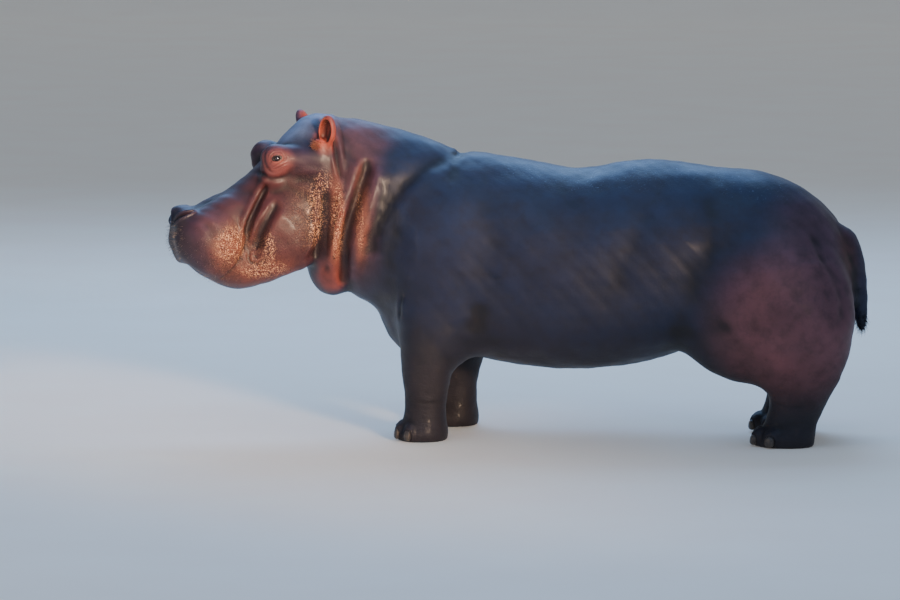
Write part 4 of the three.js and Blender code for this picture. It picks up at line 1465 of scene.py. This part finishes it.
def bristleTree():
    group = bpy.data.node_groups.new("bristles", "GeometryNodeTree")
    for name, kind in (("Geometry", "Geometry"), ("Thickness", "Float"), ("Curl", "Float"), ("Seed", "Int"),
                       ("Material", "Material")):
        group.interface.new_socket(name, in_out="INPUT", socket_type="NodeSocket" + kind)
    group.interface.new_socket("Geometry", in_out="OUTPUT", socket_type="NodeSocketGeometry")
    t = Tree(group)
    given = t.add("NodeGroupInput").outputs

    # one bristle, a metre long
    tip = t.add("ShaderNodeCombineXYZ", {"X": given["Curl"], "Z": 1.0}).outputs[0]
    stem = t.add("GeometryNodeCurveQuadraticBezier", {"Resolution": bristleShape["rings"], "Start": (0, 0, 0),
                                                      "Middle": (0, 0, bristleShape["middle"]), "End": tip})
    along = t.add("GeometryNodeSplineParameter").outputs["Factor"]
    taper = t.add("ShaderNodeMapRange", {"Value": along, "To Min": 1.0,
                                         "To Max": bristleShape["tipThickness"]})
    profile = t.add("GeometryNodeCurvePrimitiveCircle", {"Resolution": bristleShape["sides"],
                                                         "Radius": given["Thickness"]})
    body = t.add("GeometryNodeCurveToMesh", {"Curve": stem.outputs[0], "Profile Curve": profile.outputs[0],
                                             "Scale": taper.outputs[0], "Fill Caps": True})

    # turned to its root's heading, spun at random and scaled to its root's length
    heading = t.add("GeometryNodeInputNamedAttribute", {"Name": "heading"}, data_type="FLOAT_VECTOR")
    length = t.add("GeometryNodeInputNamedAttribute", {"Name": "length"}, data_type="FLOAT")
    align = t.add("FunctionNodeAlignRotationToVector", {"Vector": heading.outputs[0]}, axis="Z")
    spin = t.add("FunctionNodeRandomValue", {3: 2 * math.pi, "Seed": given["Seed"]}, data_type="FLOAT")
    about = t.add("FunctionNodeAxisAngleToRotation", {"Angle": spin.outputs[1]})
    turn = t.add("FunctionNodeRotateRotation", {0: align.outputs[0], 1: about.outputs[0]},
                 rotation_space="LOCAL")
    place = t.add("GeometryNodeInstanceOnPoints", {"Points": given["Geometry"], "Instance": body.outputs[0],
                                                   "Rotation": turn.outputs[0], "Scale": length.outputs[0]})
    realize = t.add("GeometryNodeRealizeInstances", {0: place.outputs[0]})
    finish = t.add("GeometryNodeSetMaterial", {"Geometry": realize.outputs[0], "Material": given["Material"]})
    t.add("NodeGroupOutput", {0: finish.outputs[0]})
    return group


nostrilMiddle = np.array(nostril["points"]).mean(0) + np.array(nostril["inward"]) * nostril["deep"] * 0.5


def bristleRoots(look):  # points on the hide, the way each bristle points, and its place on the hide's map
    chance = np.random.default_rng(look["seed"])
    middle = bothSides(straight[faces].mean(1))
    area = np.linalg.norm(faceAndPointNormals(straight, faces)[0], axis=1)
    free = area * smooth(*bristleShape["clearOfNostril"], np.linalg.norm(middle - nostrilMiddle, axis=1))
    roots, headings, lengths, places = [], [], [], []
    for center, reach, count, long, lean in look["zones"]:
        weight = free * smooth(1.0, 0.5, np.linalg.norm((middle - center) / reach, axis=1))
        chosen = chance.choice(len(faces), count, p=weight / weight.sum())
        share = chance.dirichlet((1, 1, 1), count)[:, :, None]
        root = (straight[faces[chosen]] * share).sum(1)
        out = (straightNormal[faces[chosen]] * share).sum(1)
        side = np.where(root[:, 1] < 0, -1, 1)
        heading = out + np.array(lean) * np.column_stack([np.ones(count), side, np.ones(count)])
        heading += chance.normal(0, bristleShape["spread"], (count, 3))
        heading /= np.linalg.norm(heading, axis=1)[:, None]
        roots.append(inPlace(root - out * bristleShape["deep"]))
        headings.append(inPlace(root + heading * 0.001) - inPlace(root))
        lengths.append(long * chance.uniform(*bristleShape["lengths"], count))
        places.append((skinUv[chosen] * share).sum(1))
    return np.vstack(roots), np.vstack(headings) * 1000, np.concatenate(lengths), np.vstack(places)


def bristleMaterial(name, color):
    s = Shader(name)
    darker = tuple(c * bristleShape["darkShare"] for c in color)
    mixed = s.mix(s.ramp(s.noise(70, 3, 0.6), 0.35, 0.65), (*darker, 1), (*color, 1))
    return s.finish({"Base Color": mixed, "Roughness": bristleShape["roughness"]})


def bristlePiece(name, look, tree):
    roots, headings, lengths, places = bristleRoots(look)
    mesh = bpy.data.meshes.new(name + "Roots")
    mesh.from_pydata([tuple(r) for r in roots], [], [])
    mesh.attributes.new("heading", "FLOAT_VECTOR", "POINT").data.foreach_set("vector", headings.ravel())
    mesh.attributes.new("length", "FLOAT", "POINT").data.foreach_set("value", lengths)
    holder = linked(name + "Roots", mesh)
    modifier = holder.modifiers.new("bristles", "NODES")
    modifier.node_group = tree
    values = {"Thickness": look["thick"] / float(lengths.mean()), "Curl": look["curl"], "Seed": look["seed"],
              "Material": bristleMaterial(name, look["color"])}
    for item in tree.interface.items_tree:
        if item.in_out == "INPUT" and item.name in values:
            modifier[item.identifier] = values[item.name]
    bpy.context.view_layer.update()
    grown = holder.evaluated_get(bpy.context.evaluated_depsgraph_get())
    result = bpy.data.meshes.new_from_object(grown)
    bpy.data.objects.remove(holder)
    for extra in [a.name for a in result.attributes if a.name in ("heading", "length")]:
        result.attributes.remove(result.attributes[extra])
    result.name = name
    piece = linked(name, result)
    each = len(result.vertices) // len(roots)  # every bristle is a small patch at its root's place
    corner = np.empty(len(result.loops), int)
    result.loops.foreach_get("vertex_index", corner)
    within = corner % each
    sides = bristleShape["sides"]
    patch = np.column_stack([(within % sides) / sides, (within // sides) / (each / sides)]) - 0.5
    addMap(result, places[corner // each] + patch * bristleShape["mapPatch"])
    result.shade_smooth()
    print(name + ":", len(roots), "bristles,", len(result.polygons), "faces")
    return piece


tree = bristleTree()
bristles = [bristlePiece(name, look, tree) for name, look in bristleSets.items()]

flesh = [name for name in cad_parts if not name.startswith(("eye_", "nail_"))]
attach(skin, "root")
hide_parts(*flesh)
for piece, node in zip(eyes, ("eye_left", "eye_right")):
    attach(piece, "root")
    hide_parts(node)
for piece in bristles:
    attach(piece, "root")
for piece, nodes in nailPieces:
    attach(piece, "root")
    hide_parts(*nodes)

sweep = {  # the floor turns up far behind, past every camera that stands as far away as this one
    "back": 32.0, "radius": 5.0, "height": 31.0, "reach": 60.0, "steps": 16,
    "colors": ((0.88, 0.80, 0.68, 1), (0.92, 0.84, 0.72, 1)), "roughness": 0.7,
    "glow": (1.0, 0.98, 0.95, 1), "glowStrength": 0.10,
}


def floorMaterial():
    s = Shader("paleFloor")
    color = s.mix(s.ramp(s.noise(1.5, 4, 0.5), 0.3, 0.7), *sweep["colors"])
    return s.finish({"Base Color": color, "Roughness": sweep["roughness"], "Emission Color": sweep["glow"],
                     "Emission Strength": sweep["glowStrength"]})


path = [(-sweep["reach"], 0.0)] + [
    (sweep["back"] + sweep["radius"] * math.sin(a), sweep["radius"] * (1 - math.cos(a)))
    for a in np.linspace(0, math.pi / 2, sweep["steps"])]
path.append((path[-1][0], sweep["height"]))
floor = meshPiece("floor", [(side * sweep["reach"], y, z) for y, z in path for side in (-1, 1)],
                  [(2 * k, 2 * k + 1, 2 * k + 3, 2 * k + 2) for k in range(len(path) - 1)])
floor.data.materials.append(floorMaterial())

view = {
    "azimuth": 8.0, "elevation": 6.5,  # degrees
    "distance": 28.0,
    "aim": (-0.347, 0.0, 0.668),
    "metresAcross": 900 / 199.0,  # width of the picture at the aim
    "sensor": 36, "farEnd": 200,
}
azimuth, elevation = math.radians(view["azimuth"]), math.radians(view["elevation"])
back = Vector((math.sin(azimuth) * math.cos(elevation), -math.cos(azimuth) * math.cos(elevation),
               math.sin(elevation)))
aim = Vector(view["aim"]) - Vector(origin)
cameraData = bpy.data.cameras.new("camera")
camera = linked("camera", cameraData)
camera.location = aim + back * view["distance"]
camera.rotation_euler = back.to_track_quat("Z", "Y").to_euler()
cameraData.sensor_width = view["sensor"]
cameraData.lens = view["sensor"] * view["distance"] / view["metresAcross"]
cameraData.clip_end = view["farEnd"]
bpy.context.scene.camera = camera

lights = {
    "key": {"place": (5.0, -9.2, 3.2), "at": (-1.55, -0.2, 1.10), "size": 1.5, "spread": 24, "power": 48,
            "color": (1.0, 0.70, 0.47)},
    "side": {"place": (-7.5, -7.0, 3.4), "at": (-1.0, 0.0, 1.0), "size": 2.6, "spread": 120, "power": 40,
             "color": (1.0, 0.80, 0.62)},
    "sky": {"place": (-1.5, 6.5, 7.5), "at": (-0.3, 0.0, 1.0), "size": 7.0, "spread": 180, "power": 800,
            "color": (0.28, 0.53, 1.0)},
    "above": {"place": (1.0, -4.0, 9.0), "at": (0.0, 0.0, 1.0), "size": 9.0, "spread": 180, "power": 300,
              "color": (0.30, 0.55, 1.0)},
}
for name, light in lights.items():
    data = bpy.data.lights.new(name, "AREA")
    data.size, data.energy, data.color = light["size"], light["power"], light["color"]
    data.spread = math.radians(light["spread"])
    lamp = linked(name, data)
    lamp.location = light["place"]
    lamp.visible_camera = False
    toward = Vector(light["at"]) - lamp.location
    lamp.rotation_euler = toward.to_track_quat("-Z", "Y").to_euler()

room = {"color": (0.56, 0.72, 1.0, 1), "strength": 0.36}  # light from all around
world = bpy.data.worlds.new("studio")
world.use_nodes = True
world.node_tree.nodes["Background"].inputs["Color"].default_value = room["color"]
world.node_tree.nodes["Background"].inputs["Strength"].default_value = room["strength"]
bpy.context.scene.world = world
print("floor, camera and lights: done")
